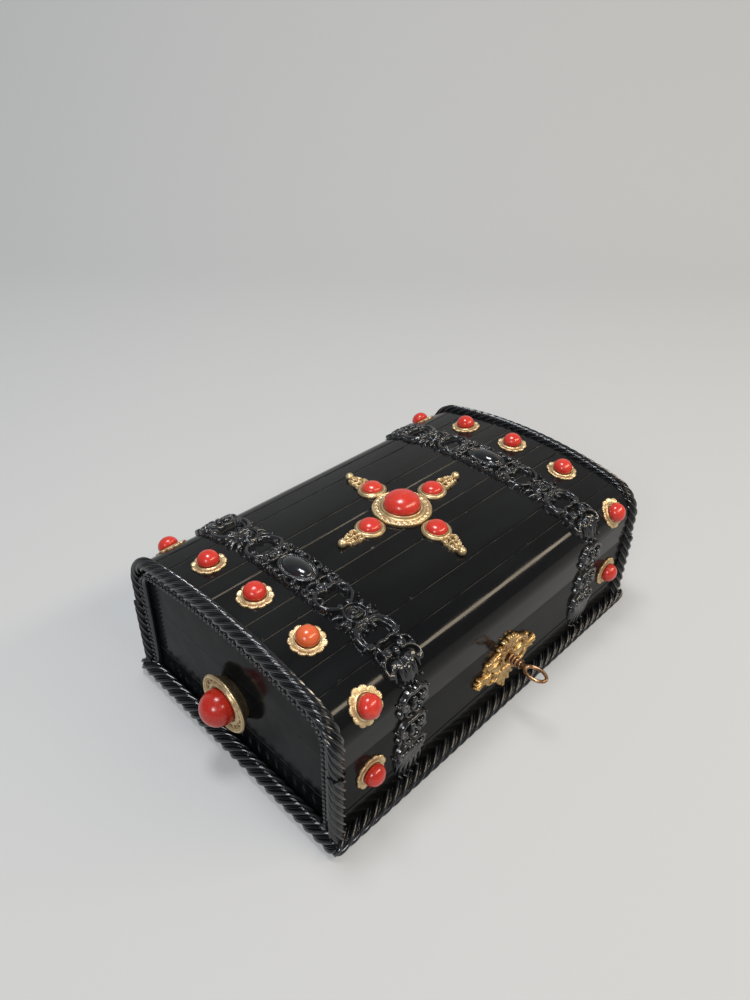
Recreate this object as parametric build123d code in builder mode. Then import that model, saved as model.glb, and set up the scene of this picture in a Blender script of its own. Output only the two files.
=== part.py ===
"""Domed casket of black lacquered slats with coral studs, carved mouldings, a box lock and a key.

Millimetres. +X runs along the length, the front with the keyhole faces -Y, +Z is up.
The origin is the centre of the flat underside.
"""

import math
import os

from build123d import *

os.makedirs("parts", exist_ok=True)

# Case
case_length = 268.0
case_depth = 174.0
seam_height = 60.0
crown_height = 104.0
shoulder_drop = 28.2
shoulder_radius = 21.0
wall_thickness = 10.0
floor_thickness = 6.0
seam_gap = 0.3
base_board_joint = 25.0
groove_size = 0.9
cut_margin = 1.0

# Lid slats: the wide ones take the room between the two narrow ones
crown_slat_width = 28.0
inner_slat_width = 13.5
outer_slat_width = 14.0
shoulder_slat_overlap = 3.5

# Carved rope mouldings: over the lid's ends, up the corners and along the foot
rope_radius = 4.5
rope_end_proud = 6.0
rope_side_proud = 3.5
corner_rope_radius = 4.8
corner_rope_end_proud = 7.0
corner_rope_side_proud = 4.5
foot_rope_radius = 5.5
foot_rope_end_proud = 10.5
foot_rope_side_proud = 6.8
foot_rope_lift = 0.2

# Carved straps
strap_inset = 50.0
strap_width = 21.0
strap_thickness = 2.6
crown_frame_length = 29.0
crown_frame_width = 18.5
crown_frame_height = 3.6
cabochon_length = 23.0
cabochon_width = 13.0
cabochon_height = 6.4
rosette_reach = 45.0
rosette_radius = 8.0
rosette_height = 4.4
leaf_boss_tilt = 42.0
leaf_boss_length = 18.0
leaf_boss_width = 15.0
leaf_boss_height = 4.6
spray_height = 15.0
spray_length = 16.0
spray_width = 13.0
spray_rise = 3.6

# Studs
stud_inset = 20.6
stud_plate_radius = 10.5
stud_plate_thickness = 1.4
stud_lobe_radius = 2.6
stud_lobe_count = 12
coral_radius = 6.3
coral_rise = 8.6
coral_edge = 3.0
shoulder_stud_tilt = 55.0
base_stud_height = 41.5

# Cross on the crown
cross_ring_radius = 18.8
cross_ring_rise = 2.6
cross_coral_radius = 11.6
cross_coral_rise = 11.2
collet_wall = 1.1
collet_clearance = 0.1
cross_arm = 28.2
bezel_radius = 9.3
bezel_rise = 2.4
bezel_coral_radius = 6.8
bezel_coral_rise = 5.2
finial_length = 16.6
finial_width = 11.0
finial_thickness = 1.8
finial_ball_radius = 2.7
finial_ball_lift = 1.8
# Lobes of a finial: place along its length and across its width, and radius, as shares
finial_lobes = (
    (-0.38, 0, 0.25),
    (-0.27, -0.33, 0.20),
    (-0.27, 0.33, 0.20),
    (-0.06, 0, 0.30),
    (0.10, -0.20, 0.19),
    (0.10, 0.20, 0.19),
    (0.24, 0, 0.17),
)

# Round bosses on the ends
boss_height_up = 42.0
boss_radius = 18.6
boss_foot_radius = 14.0
boss_foot_rise = 1.2
boss_rise = 8.0
boss_edge_thickness = 1.6
boss_channel_depth = 1.6
boss_rim_width = 3.0
boss_coral_radius = 10.9
boss_coral_edge = 10.4
boss_coral_rise = 21.2
boss_floor = 5.0
boss_stone_clearance = 0.2

# Lock
key_drop = 17.0
lock_case_width = 36.0
lock_case_depth_below_key = 9.0
lock_front_wall = 2.8
lock_plate = 1.0
lock_top_plate = 1.2
lock_cover_margin = 5.0
lock_cover_drop = 2.0
lock_guide_thickness = 1.6
lock_guide_overlap = 2.0
bolt_travel = 5.0
bolt_length = 17.0
bolt_height = 6.0
bolt_lift = 4.6
bolt_clearance = 0.2
bolt_nose_reach = 6.5
bolt_nose_height = 3.6
bolt_nose_thickness = 1.8
bolt_notch_play = 0.5
bolt_notch_room = 0.7
staple_place = 12.0
staple_thickness = 2.0
staple_depth = 4.1
staple_foot = 1.9
staple_clearance = 0.4
staple_side_clearance = 0.3
link_plate_length = 18.0
link_plate_depth = 7.0
link_plate_thickness = 1.2

# Key
key_shank_radius = 2.0
key_bore_clearance = 0.06
key_hole_clearance = 0.4
key_bit_radius = 6.2
key_bit_width = 3.0
key_bit_thickness = 1.2
key_pilot = 0.5
key_collar_radius = 3.5
key_collar_reach = 14.0
key_collar_clearance = 0.4
# Rings of the collar: radius as a share of the collar's, start and end beyond its foot
key_rings = (
    (1.0, 0.5, 1.9),
    (0.94, 3.0, 4.0),
    (0.9, 5.1, 6.1),
    (0.86, 7.2, 8.4),
)
key_ring_slope = 0.5
key_bow_length = 16.0
key_bow_width = 11.0
key_bow_band = 2.1
key_bow_thickness = 2.4

# Escutcheon
escutcheon_drop = 4.8
escutcheon_half_width = 29.0
escutcheon_half_height = 21.0
# Ovals that make up the escutcheon's outline: place and half sizes as shares of its own
escutcheon_ovals = (
    (0, 0, 0.50, 0.80),
    (0.58, 0, 0.34, 0.42),
    (0.88, 0, 0.12, 0.16),
    (0.36, 0.52, 0.22, 0.32),
    (0.36, -0.52, 0.22, 0.32),
    (0, 0.76, 0.22, 0.24),
    (0, -0.76, 0.22, 0.24),
)
escutcheon_thickness = 1.6
escutcheon_boss_rise = 3.2
escutcheon_pin_radius = 0.5
escutcheon_pin_head = 1.2
escutcheon_pin_length = 2.3
escutcheon_pin_crown = 0.7
escutcheon_end_pin_reach = 24.0
escutcheon_top_pin_reach = 9.0
escutcheon_top_pin_rise = 12.0

# Hinges
hinge_reach = 45.0
hinge_width = 24.0
hinge_standoff = 4.0
knuckle_radius = 2.5
middle_knuckle_width = 10.0
knuckle_gap = 0.2
hinge_pin_radius = 0.9
hinge_pin_clearance = 0.05
hinge_pin_head = 1.4
hinge_pin_head_thickness = 1.0
leaf_thickness = 1.0
leaf_depth = 8.5
hinge_stop_angle = 95.0
stop_reach = 6.0
stop_thickness = 1.0
stop_clearance = 0.1
stop_inner_gap = 0.4
stop_root = 1.5

# Screws
screw_radius = 1.1
screw_head_radius = 1.9
screw_head_height = 0.8
screw_length = 8.0
cover_screw_length = 6.0
cover_screw_margin = 3.0
cover_screw_drop = 8.0

# Lining
lining_thickness = 1.5
lining_below_rim = 1.0
pad_thickness = 4.0
pad_clearance = 0.4

# Places worked out from the sizes
half_length = case_length / 2
half_depth = case_depth / 2
key_height = seam_height - key_drop
lock_case_bottom = key_height - lock_case_depth_below_key
escutcheon_height = key_height - escutcheon_drop
base_rim = seam_height - seam_gap / 2
lid_rim = seam_height + seam_gap / 2
inner_half_length = half_length - wall_thickness
inner_half_depth = half_depth - wall_thickness
shoulder_start = crown_height - shoulder_drop
shoulder_reach = half_depth - shoulder_radius
crown_reach_squared = shoulder_reach**2 + shoulder_drop**2 - shoulder_radius**2
crown_radius = crown_reach_squared / (2 * (shoulder_drop - shoulder_radius))
crown_centre = crown_height - crown_radius
shoulder_angle = math.degrees(math.asin(shoulder_reach / (crown_radius - shoulder_radius)))
far = case_length
sides = {"left": -1, "right": 1}
faces = {"front": -1, "back": 1}
strap_place = half_length - strap_inset
stud_place = half_length - stud_inset
rope_end_place = half_length + rope_end_proud - rope_radius
rope_side_grow = rope_side_proud - rope_radius
rope_side_place = half_depth + rope_side_grow
corner_rope_x = half_length + corner_rope_end_proud - corner_rope_radius
corner_rope_y = half_depth + corner_rope_side_proud - corner_rope_radius
foot_rope_x = half_length + foot_rope_end_proud - foot_rope_radius
foot_rope_y = half_depth + foot_rope_side_proud - foot_rope_radius
foot_rope_height = foot_rope_lift + foot_rope_radius
hinge_axis_y = half_depth + hinge_standoff


def span_box(low, high, mode=Mode.ADD):
    """Add or cut a box between two opposite corners."""
    middle = [(a + b) / 2 for a, b in zip(low, high)]
    with Locations(tuple(middle)):
        Box(high[0] - low[0], high[1] - low[1], high[2] - low[2], mode=mode)


def lid_outline(grow, foot, mode=Mode.ADD):
    """Face of the lid's outline, moved out by grow, closed along the height foot."""
    reach = half_depth + grow
    shoulder = shoulder_radius + grow
    crown = crown_radius + grow
    with BuildLine() as outline:
        Line((reach, foot), (reach, shoulder_start))
        CenterArc((shoulder_reach, shoulder_start), shoulder, 0, 90 - shoulder_angle)
        CenterArc((0, crown_centre), crown, 90 - shoulder_angle, 2 * shoulder_angle)
        CenterArc((-shoulder_reach, shoulder_start), shoulder, 90 + shoulder_angle, 90 - shoulder_angle)
        Line((-reach, shoulder_start), (-reach, foot))
        Line((-reach, foot), (reach, foot))
    make_face(outline.edges(), mode=mode)


def outline_block(grow, foot, low_x, high_x):
    """Solid with the lid's outline, from low_x to high_x."""
    with BuildPart() as block:
        with BuildSketch(Plane.YZ.offset(low_x)):
            lid_outline(grow, foot)
        extrude(amount=high_x - low_x)
    return block.part


def crown_plane(x, reach):
    """Plane on the crown's surface, facing out, reach from the centre line."""
    angle = math.asin(reach / crown_radius)
    up = (0, math.sin(angle), math.cos(angle))
    place = (x, crown_radius * up[1], crown_centre + crown_radius * up[2])
    return Plane(origin=place, x_dir=(1, 0, 0), z_dir=up)


def shoulder_plane(x, face, tilt):
    """Plane on a shoulder's surface, facing out, tilted from the vertical."""
    out = (0, face * math.sin(math.radians(tilt)), math.cos(math.radians(tilt)))
    place_y = face * shoulder_reach + shoulder_radius * out[1]
    place_z = shoulder_start + shoulder_radius * out[2]
    return Plane(origin=(x, place_y, place_z), x_dir=(1, 0, 0), z_dir=out)


def wall_plane(x, face, height):
    """Plane on the front or back wall, facing out."""
    return Plane(origin=(x, face * half_depth, height), x_dir=(1, 0, 0), z_dir=(0, face, 0))


def end_plane(side, height):
    """Plane on an end panel, facing out."""
    return Plane(origin=(side * half_length, 0, height), x_dir=(0, 1, 0), z_dir=(side, 0, 0))


def section_plane(plane):
    """Plane through the axis of another plane, its second direction along that axis."""
    return Plane(origin=plane.origin, x_dir=plane.x_dir, z_dir=-plane.y_dir)


def turned(plane, points, mode=Mode.ADD):
    """Turn a section of (radius, rise) points about a plane's axis."""
    with BuildSketch(section_plane(plane)) as section:
        with BuildLine():
            Polyline(*points, close=True)
        make_face()
    revolve(section.sketch, axis=Axis(plane.origin, plane.z_dir), mode=mode)


def cabochon(plane, radius, rise, edge, depth):
    """Domed bead on a plane: round above the height edge, its foot depth below the plane."""
    dome = rise - edge
    dome_radius = (radius**2 + dome**2) / (2 * dome)
    start = math.degrees(math.asin((dome_radius - dome) / dome_radius))
    with BuildSketch(section_plane(plane)) as section:
        with BuildLine():
            Polyline((0, rise), (0, -depth), (radius, -depth), (radius, edge))
            CenterArc((0, rise - dome_radius), dome_radius, start, 90 - start)
        make_face()
    revolve(section.sketch, axis=Axis(plane.origin, plane.z_dir))


def oval_cabochon(plane, length, width, rise, edge):
    """Oval bead whose long way runs along the strap, domed both ways above the height edge."""
    dome = rise - edge
    across = ((width / 2) ** 2 + dome**2) / (2 * dome)
    along = ((length / 2) ** 2 + dome**2) / (2 * dome)
    reach = math.degrees(math.asin(length / 2 / along))
    middle = plane.offset(rise - across)
    profile = Plane(origin=middle.origin, x_dir=plane.y_dir, z_dir=plane.x_dir)
    with BuildPart() as bead:
        with BuildSketch(profile) as section:
            with BuildLine():
                CenterArc((0, across - along), along, 90 - reach, 2 * reach)
                Polyline(
                    (-length / 2, across - dome),
                    (-length / 2, 0),
                    (length / 2, 0),
                    (length / 2, across - dome),
                )
            make_face()
        revolve(section.sketch, axis=Axis(middle.origin, plane.y_dir))
        with BuildSketch(plane) as outline:
            Ellipse(width / 2, length / 2)
        extrude(outline.sketch, amount=2 * rise, mode=Mode.INTERSECT)
    add(bead.part)


def save(part, name):
    """Label a finished piece and write it."""
    part.label = name
    export_step(part, f"parts/{name}.step")


# Solids that shape more than one piece
case_block = outline_block(0, -rope_radius, -half_length, half_length)

with BuildPart() as base_screws:
    for side in sides.values():
        for shift in (-1, 1):
            x = side * hinge_reach + shift * hinge_width / 3
            turned(
                Plane(origin=(x, half_depth - leaf_depth / 2, base_rim)),
                [
                    (0, 0),
                    (screw_head_radius, 0),
                    (screw_radius, -screw_head_height),
                    (screw_radius, -screw_length),
                    (0, -screw_length),
                ],
            )
save(base_screws.part, "base_hinge_screws")

with BuildPart() as lid_screws:
    hinge_points = [
        (side * hinge_reach + shift * hinge_width / 3, half_depth - leaf_depth / 2)
        for side in sides.values()
        for shift in (-1, 1)
    ]
    link_centre = staple_place
    link_y = -half_depth + lock_front_wall + link_plate_depth / 2
    link_points = [(link_centre + shift * link_plate_length / 3, link_y) for shift in (-1, 1)]
    for x, y in hinge_points + link_points:
        turned(
            Plane(origin=(x, y, lid_rim), x_dir=(1, 0, 0), z_dir=(0, 0, -1)),
            [
                (0, 0),
                (screw_head_radius, 0),
                (screw_radius, -screw_head_height),
                (screw_radius, -screw_length),
                (0, -screw_length),
            ],
        )
save(lid_screws.part, "lid_screws")

# Lock: the case is let into the front wall from inside, its top plate level with the rim
case_front = -half_depth + lock_front_wall
case_back = -inner_half_depth
lock_half_width = lock_case_width / 2
cover_half_width = lock_half_width + lock_cover_margin
bolt_bottom = key_height + bolt_lift
bolt_front = case_front + lock_plate + bolt_clearance
bolt_back = case_back - bolt_clearance
bolt_middle_y = (bolt_front + bolt_back) / 2
nose_middle_height = bolt_bottom + bolt_height / 2
nose_bottom = nose_middle_height - bolt_nose_height / 2
nose_top = nose_middle_height + bolt_nose_height / 2
nose_front = bolt_middle_y - bolt_nose_thickness / 2
nose_back = bolt_middle_y + bolt_nose_thickness / 2
staple_low_x = staple_place - staple_thickness / 2
staple_high_x = staple_place + staple_thickness / 2
staple_bottom = nose_bottom - staple_clearance - staple_foot
nose_end = staple_low_x - bolt_travel / 3
bolt_body_end = nose_end - bolt_nose_reach
bolt_tail = bolt_body_end - bolt_length
notch_low = -key_bit_radius - key_bit_thickness
notch_high = -bolt_travel + key_bit_thickness / 2 + bolt_notch_play
guide_spans = (
    (bolt_tail, bolt_tail + bolt_travel + lock_guide_overlap),
    (bolt_body_end - lock_guide_overlap / 2, bolt_body_end + lock_guide_overlap),
)
guide_bottoms = (
    bolt_bottom - bolt_clearance - lock_guide_thickness,
    bolt_bottom + bolt_height + bolt_clearance,
)

with BuildPart() as lock_case:
    span_box((-lock_half_width, case_front, lock_case_bottom), (lock_half_width, case_back, base_rim))
    span_box(
        (-lock_half_width + lock_plate, case_front + lock_plate, lock_case_bottom + lock_plate),
        (lock_half_width - lock_plate, case_back, base_rim - lock_top_plate),
        Mode.SUBTRACT,
    )
    for low, high in guide_spans:
        for bottom in guide_bottoms:
            span_box(
                (low, case_front + lock_plate, bottom),
                (high, case_back, bottom + lock_guide_thickness),
            )
    with BuildSketch(Plane.XZ.offset(-case_front - lock_plate)):
        with Locations((0, key_height)):
            Circle(key_shank_radius + key_bore_clearance)
        with Locations((0, key_height - key_bit_radius / 2 - key_hole_clearance / 2)):
            Rectangle(key_bit_thickness + key_hole_clearance, key_bit_radius + key_hole_clearance)
    extrude(amount=2 * lock_plate, mode=Mode.SUBTRACT)
    span_box(
        (staple_low_x - staple_clearance, case_front + lock_plate, base_rim - 2 * lock_top_plate),
        (staple_high_x + staple_clearance, case_back, base_rim + cut_margin),
        Mode.SUBTRACT,
    )
save(lock_case.part, "lock_case")

with BuildPart() as lock_cover_screws:
    for x in (-1, 1):
        for height in (lock_case_bottom + cover_screw_margin, base_rim - cover_screw_drop):
            place = (x * (lock_half_width + lock_cover_margin / 2), case_back + lock_plate, height)
            turned(
                Plane(origin=place, x_dir=(1, 0, 0), z_dir=(0, 1, 0)),
                [
                    (0, 0),
                    (screw_head_radius, 0),
                    (screw_radius, -screw_head_height),
                    (screw_radius, -cover_screw_length),
                    (0, -cover_screw_length),
                ],
            )
save(lock_cover_screws.part, "lock_screws")

with BuildPart() as lock_cover:
    span_box(
        (-cover_half_width, case_back, lock_case_bottom - lock_cover_drop),
        (cover_half_width, case_back + lock_plate, base_rim - lock_top_plate),
    )
    add(lock_cover_screws.part, mode=Mode.SUBTRACT)
save(lock_cover.part, "lock_cover")

with BuildPart() as lock_bolt:
    span_box((bolt_tail, bolt_front, bolt_bottom), (bolt_body_end, bolt_back, bolt_bottom + bolt_height))
    span_box((bolt_body_end, nose_front, nose_bottom), (nose_end, nose_back, nose_top))
    span_box(
        (notch_low, bolt_front - cut_margin, bolt_bottom - cut_margin),
        (notch_high, bolt_back + cut_margin, key_height + key_bit_radius + bolt_notch_room),
        Mode.SUBTRACT,
    )
save(lock_bolt.part, "lock_bolt")

with BuildPart() as link_plate:
    link_low_x = link_centre - link_plate_length / 2
    link_high_x = link_centre + link_plate_length / 2
    span_box(
        (link_low_x, case_front, lid_rim),
        (link_high_x, case_front + link_plate_depth, lid_rim + link_plate_thickness),
    )
    span_box(
        (staple_low_x, bolt_middle_y - staple_depth / 2, staple_bottom),
        (staple_high_x, bolt_middle_y + staple_depth / 2, lid_rim),
    )
    span_box(
        (
            staple_low_x - cut_margin,
            nose_front - staple_side_clearance,
            nose_bottom - staple_clearance,
        ),
        (
            staple_high_x + cut_margin,
            nose_back + staple_side_clearance,
            nose_top + staple_clearance,
        ),
        Mode.SUBTRACT,
    )
    add(lid_screws.part, mode=Mode.SUBTRACT)
save(link_plate.part, "link_plate")

# Escutcheon on the front wall, the keyhole in its raised boss
escutcheon_plane = wall_plane(0, -1, escutcheon_height)
keyhole_up = key_height - escutcheon_height

pin_places = []
for side in sides.values():
    pin_places.append((side * escutcheon_end_pin_reach, 0))
    pin_places.append((side * escutcheon_top_pin_reach, escutcheon_top_pin_rise))

with BuildPart() as escutcheon_pins:
    for x, rise in pin_places:
        turned(
            Plane(origin=(x, -half_depth, escutcheon_height + rise), x_dir=(1, 0, 0), z_dir=(0, -1, 0)),
            [
                (0, escutcheon_thickness + escutcheon_pin_crown),
                (escutcheon_pin_head, escutcheon_thickness),
                (escutcheon_pin_radius, escutcheon_thickness),
                (escutcheon_pin_radius, -escutcheon_pin_length),
                (0, -escutcheon_pin_length),
            ],
        )
save(escutcheon_pins.part, "escutcheon_pins")

with BuildPart() as escutcheon:
    with BuildSketch(escutcheon_plane):
        for reach, rise, wide, tall in escutcheon_ovals:
            for side in sides.values():
                with Locations((side * reach * escutcheon_half_width, rise * escutcheon_half_height)):
                    Ellipse(wide * escutcheon_half_width, tall * escutcheon_half_height)
    extrude(amount=escutcheon_thickness)
    with BuildSketch(escutcheon_plane):
        with Locations((0, keyhole_up / 2)):
            Ellipse(key_bit_radius, escutcheon_half_height / 2)
    extrude(amount=escutcheon_boss_rise)
    with BuildSketch(escutcheon_plane.offset(-cut_margin)):
        with Locations((0, keyhole_up)):
            Circle(key_shank_radius + key_hole_clearance)
        with Locations((0, keyhole_up - key_bit_radius / 2 - key_hole_clearance / 2)):
            Rectangle(key_bit_thickness + key_hole_clearance, key_bit_radius + key_hole_clearance)
    extrude(amount=escutcheon_boss_rise + 2 * cut_margin, mode=Mode.SUBTRACT)
    add(escutcheon_pins.part, mode=Mode.SUBTRACT)
save(escutcheon.part, "escutcheon")

# Key, standing in the lock with its bow and bit level
key_tip = bolt_back
collar_foot = -half_depth - escutcheon_boss_rise - key_collar_clearance
bow_start = -half_depth - key_collar_reach
bow_middle = bow_start - key_bow_length / 2
key_profile = [
    (0, collar_foot - key_tip),
    (key_shank_radius, collar_foot - key_tip),
]
for share, ring_start, ring_end in key_rings:
    key_profile.append((key_shank_radius, ring_start - key_ring_slope))
    key_profile.append((share * key_collar_radius, ring_start))
    key_profile.append((share * key_collar_radius, ring_end))
    key_profile.append((key_shank_radius, ring_end + key_ring_slope))
key_profile.append((key_shank_radius, collar_foot - bow_start + key_bow_band / 2))
key_profile.append((0, collar_foot - bow_start + key_bow_band / 2))
with BuildPart() as key:
    turned(
        Plane(origin=(0, collar_foot, key_height), x_dir=(1, 0, 0), z_dir=(0, -1, 0)),
        key_profile,
    )
    with BuildSketch(Plane.XY.offset(key_height - key_bow_thickness / 2)):
        with Locations((0, bow_middle)):
            Ellipse(key_bow_width / 2, key_bow_length / 2)
            Ellipse(
                key_bow_width / 2 - key_bow_band,
                key_bow_length / 2 - key_bow_band,
                mode=Mode.SUBTRACT,
            )
    extrude(amount=key_bow_thickness)
    span_box(
        (-key_bit_radius, key_tip - key_pilot - key_bit_width, key_height - key_bit_thickness / 2),
        (0, key_tip - key_pilot, key_height + key_bit_thickness / 2),
    )
save(key.part, "key")

# Hinges on the back, leaves let into the rims, with stops that hold the lid open
middle_half = middle_knuckle_width / 2
outer_start = middle_half + knuckle_gap
hinge_bore_radius = hinge_pin_radius + hinge_pin_clearance
stop_inner = knuckle_radius + stop_inner_gap
stop_half_turn = math.degrees(math.asin((stop_thickness / 2 + stop_clearance / 2) / stop_inner))
stop_angle = hinge_stop_angle / 2 + stop_half_turn


def stop_flange(x_low, x_high, angle, inner):
    """Flat stop that stands out from the hinge's axis at an angle above level."""
    out = Plane(
        origin=(0, hinge_axis_y, seam_height),
        x_dir=(1, 0, 0),
        z_dir=(0, math.cos(math.radians(angle)), math.sin(math.radians(angle))),
    )
    with BuildSketch(out.offset(inner)) as section:
        with Locations(((x_low + x_high) / 2, 0)):
            Rectangle(x_high - x_low, stop_thickness)
    extrude(section.sketch, amount=stop_reach - inner)


def knuckle(x_low, x_high, radius, mode=Mode.ADD):
    """Round along the hinge's axis."""
    with BuildSketch(Plane.YZ.offset(x_low)) as section:
        with Locations((hinge_axis_y, seam_height)):
            Circle(radius)
    extrude(section.sketch, amount=x_high - x_low, mode=mode)


with BuildPart() as base_leaves:
    for side in sides.values():
        middle = side * hinge_reach
        low = middle - hinge_width / 2
        high = middle + hinge_width / 2
        plate_end = hinge_axis_y - knuckle_radius - knuckle_gap
        span_box((low, half_depth - leaf_depth, base_rim - leaf_thickness), (high, plate_end, base_rim))
        for start, end in ((low, middle - outer_start), (middle + outer_start, high)):
            span_box((start, plate_end, base_rim - leaf_thickness), (end, hinge_axis_y, base_rim))
            knuckle(start, end, knuckle_radius)
            stop_flange(start, end, -stop_angle, stop_root)
        stop_flange(low, high, -stop_angle, stop_inner)
        knuckle(low - cut_margin, high + cut_margin, hinge_bore_radius, Mode.SUBTRACT)
    add(base_screws.part, mode=Mode.SUBTRACT)
save(base_leaves.part, "hinge_base_leaves")

with BuildPart() as lid_leaves:
    for side in sides.values():
        middle = side * hinge_reach
        low = middle - hinge_width / 2
        high = middle + hinge_width / 2
        plate_end = hinge_axis_y - knuckle_radius - knuckle_gap
        span_box((low, half_depth - leaf_depth, lid_rim), (high, plate_end, lid_rim + leaf_thickness))
        span_box(
            (middle - middle_half, plate_end, lid_rim),
            (middle + middle_half, hinge_axis_y, lid_rim + leaf_thickness),
        )
        knuckle(middle - middle_half, middle + middle_half, knuckle_radius)
        stop_flange(middle - middle_half, middle + middle_half, stop_angle, stop_root)
        knuckle(low - cut_margin, high + cut_margin, hinge_bore_radius, Mode.SUBTRACT)
    add(lid_screws.part, mode=Mode.SUBTRACT)
save(lid_leaves.part, "hinge_lid_leaves")

with BuildPart() as hinge_pins:
    for side in sides.values():
        middle = side * hinge_reach
        low = middle - hinge_width / 2
        high = middle + hinge_width / 2
        knuckle(low, high, hinge_pin_radius)
        knuckle(low - hinge_pin_head_thickness, low, hinge_pin_head)
        knuckle(high, high + hinge_pin_head_thickness, hinge_pin_head)
save(hinge_pins.part, "hinge_pins")

# Base boards
with BuildPart() as bottom_board:
    span_box(
        (-inner_half_length, -inner_half_depth, 0),
        (inner_half_length, inner_half_depth, floor_thickness),
    )
save(bottom_board.part, "bottom_board")


def wall_board(face, low, high, grooved_high):
    """One board of the front or back wall, with a small groove at the joint between boards."""
    outer = face * half_depth
    inner = face * inner_half_depth
    span_box(
        (-half_length, min(outer, inner), low),
        (half_length, max(outer, inner), high),
    )
    groove_height = high if grooved_high else low
    with BuildSketch(Plane.YZ.offset(-half_length)) as groove:
        with Locations((outer, groove_height)):
            Rectangle(groove_size, groove_size, rotation=45)
    extrude(groove.sketch, amount=case_length, mode=Mode.SUBTRACT)


with BuildPart() as front_lower:
    wall_board(-1, 0, base_board_joint, True)
save(front_lower.part, "base_front_lower_board")

with BuildPart() as back_lower:
    wall_board(1, 0, base_board_joint, True)
save(back_lower.part, "base_back_lower_board")

with BuildPart() as front_upper:
    wall_board(-1, base_board_joint, base_rim, False)
    span_box(
        (-lock_half_width, case_front, lock_case_bottom),
        (lock_half_width, case_back, base_rim),
        Mode.SUBTRACT,
    )
    with BuildSketch(Plane.XZ.offset(half_depth + cut_margin)):
        with Locations((0, key_height)):
            Circle(key_shank_radius + key_hole_clearance)
        with Locations((0, key_height - key_bit_radius / 2 - key_hole_clearance / 2)):
            Rectangle(key_bit_thickness + key_hole_clearance, key_bit_radius + key_hole_clearance)
    extrude(amount=-lock_front_wall - 2 * cut_margin, mode=Mode.SUBTRACT)
    add(escutcheon_pins.part, mode=Mode.SUBTRACT)
    add(lock_cover_screws.part, mode=Mode.SUBTRACT)
save(front_upper.part, "base_front_upper_board")

with BuildPart() as back_upper:
    wall_board(1, base_board_joint, base_rim, False)
    for side in sides.values():
        middle = side * hinge_reach
        span_box(
            (middle - hinge_width / 2, half_depth - leaf_depth, base_rim - leaf_thickness),
            (middle + hinge_width / 2, half_depth, base_rim),
            Mode.SUBTRACT,
        )
    add(base_screws.part, mode=Mode.SUBTRACT)
save(back_upper.part, "base_back_upper_board")

for name, side in sides.items():
    with BuildPart() as base_end:
        span_box(
            (min(side * half_length, side * inner_half_length), -inner_half_depth, 0),
            (max(side * half_length, side * inner_half_length), inner_half_depth, base_rim),
        )
    save(base_end.part, f"base_end_{name}")

# Lid ends and slats
for name, side in sides.items():
    low_x = min(side * half_length, side * inner_half_length)
    lid_end = outline_block(-wall_thickness, lid_rim, low_x, low_x + wall_thickness)
    save(lid_end, f"lid_end_{name}")

shoulder_joint = shoulder_reach + shoulder_slat_overlap
joint_reach = [
    crown_slat_width / 2,
    crown_slat_width / 2 + inner_slat_width,
    shoulder_joint - outer_slat_width,
    shoulder_joint,
]

def joint_point(reach, radius=crown_radius):
    """Point on the line of a slat joint, at a distance from the crown's centre."""
    angle = math.asin(reach / crown_radius)
    return (radius * math.sin(angle), crown_centre + radius * math.cos(angle))


def lid_slat(low_reach, high_reach):
    """Slat of the lid between two joints, with a fine groove along each joint."""
    with BuildSketch(Plane.YZ.offset(-half_length)) as section:
        lid_outline(0, lid_rim)
        lid_outline(-wall_thickness, lid_rim - cut_margin, Mode.SUBTRACT)
        with BuildLine():
            if abs(high_reach) > half_depth:
                side = math.copysign(1, high_reach)
                joint = joint_point(low_reach)
                outside = joint_point(low_reach, crown_radius + far)
                slope = (outside[0] - joint[0]) / (outside[1] - joint[1])
                foot = joint[0] + slope * (lid_rim - joint[1])
                Polyline(
                    (foot, lid_rim),
                    outside,
                    (side * far, outside[1]),
                    (side * far, lid_rim),
                    close=True,
                )
            else:
                Polyline(
                    (0, crown_centre),
                    joint_point(low_reach, crown_radius + far),
                    joint_point(high_reach, crown_radius + far),
                    close=True,
                )
        make_face(mode=Mode.INTERSECT)
        for reach in (low_reach, high_reach):
            if abs(reach) < half_depth:
                turn = -math.degrees(math.asin(reach / crown_radius))
                with Locations(joint_point(reach)):
                    Rectangle(groove_size, groove_size, rotation=45 + turn, mode=Mode.SUBTRACT)
    extrude(section.sketch, amount=case_length)


with BuildPart() as slat_crown:
    lid_slat(-joint_reach[0], joint_reach[0])
save(slat_crown.part, "lid_slat_crown")

slat_names = ["inner_narrow", "wide", "outer_narrow"]
for face_name, face in faces.items():
    for index, slat_name in enumerate(slat_names):
        with BuildPart() as slat:
            lid_slat(face * joint_reach[index], face * joint_reach[index + 1])
        save(slat.part, f"lid_slat_{face_name}_{slat_name}")
    with BuildPart() as slat:
        lid_slat(face * joint_reach[-1], face * far)
        if face > 0:
            for side in sides.values():
                middle = side * hinge_reach
                span_box(
                    (middle - hinge_width / 2, half_depth - leaf_depth, lid_rim),
                    (middle + hinge_width / 2, half_depth, lid_rim + leaf_thickness),
                    Mode.SUBTRACT,
                )
        else:
            span_box(
                (link_low_x, case_front, lid_rim),
                (link_high_x, case_front + link_plate_depth, lid_rim + link_plate_thickness),
                Mode.SUBTRACT,
            )
        add(lid_screws.part, mode=Mode.SUBTRACT)
    save(slat.part, f"lid_slat_{face_name}_shoulder")

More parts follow.
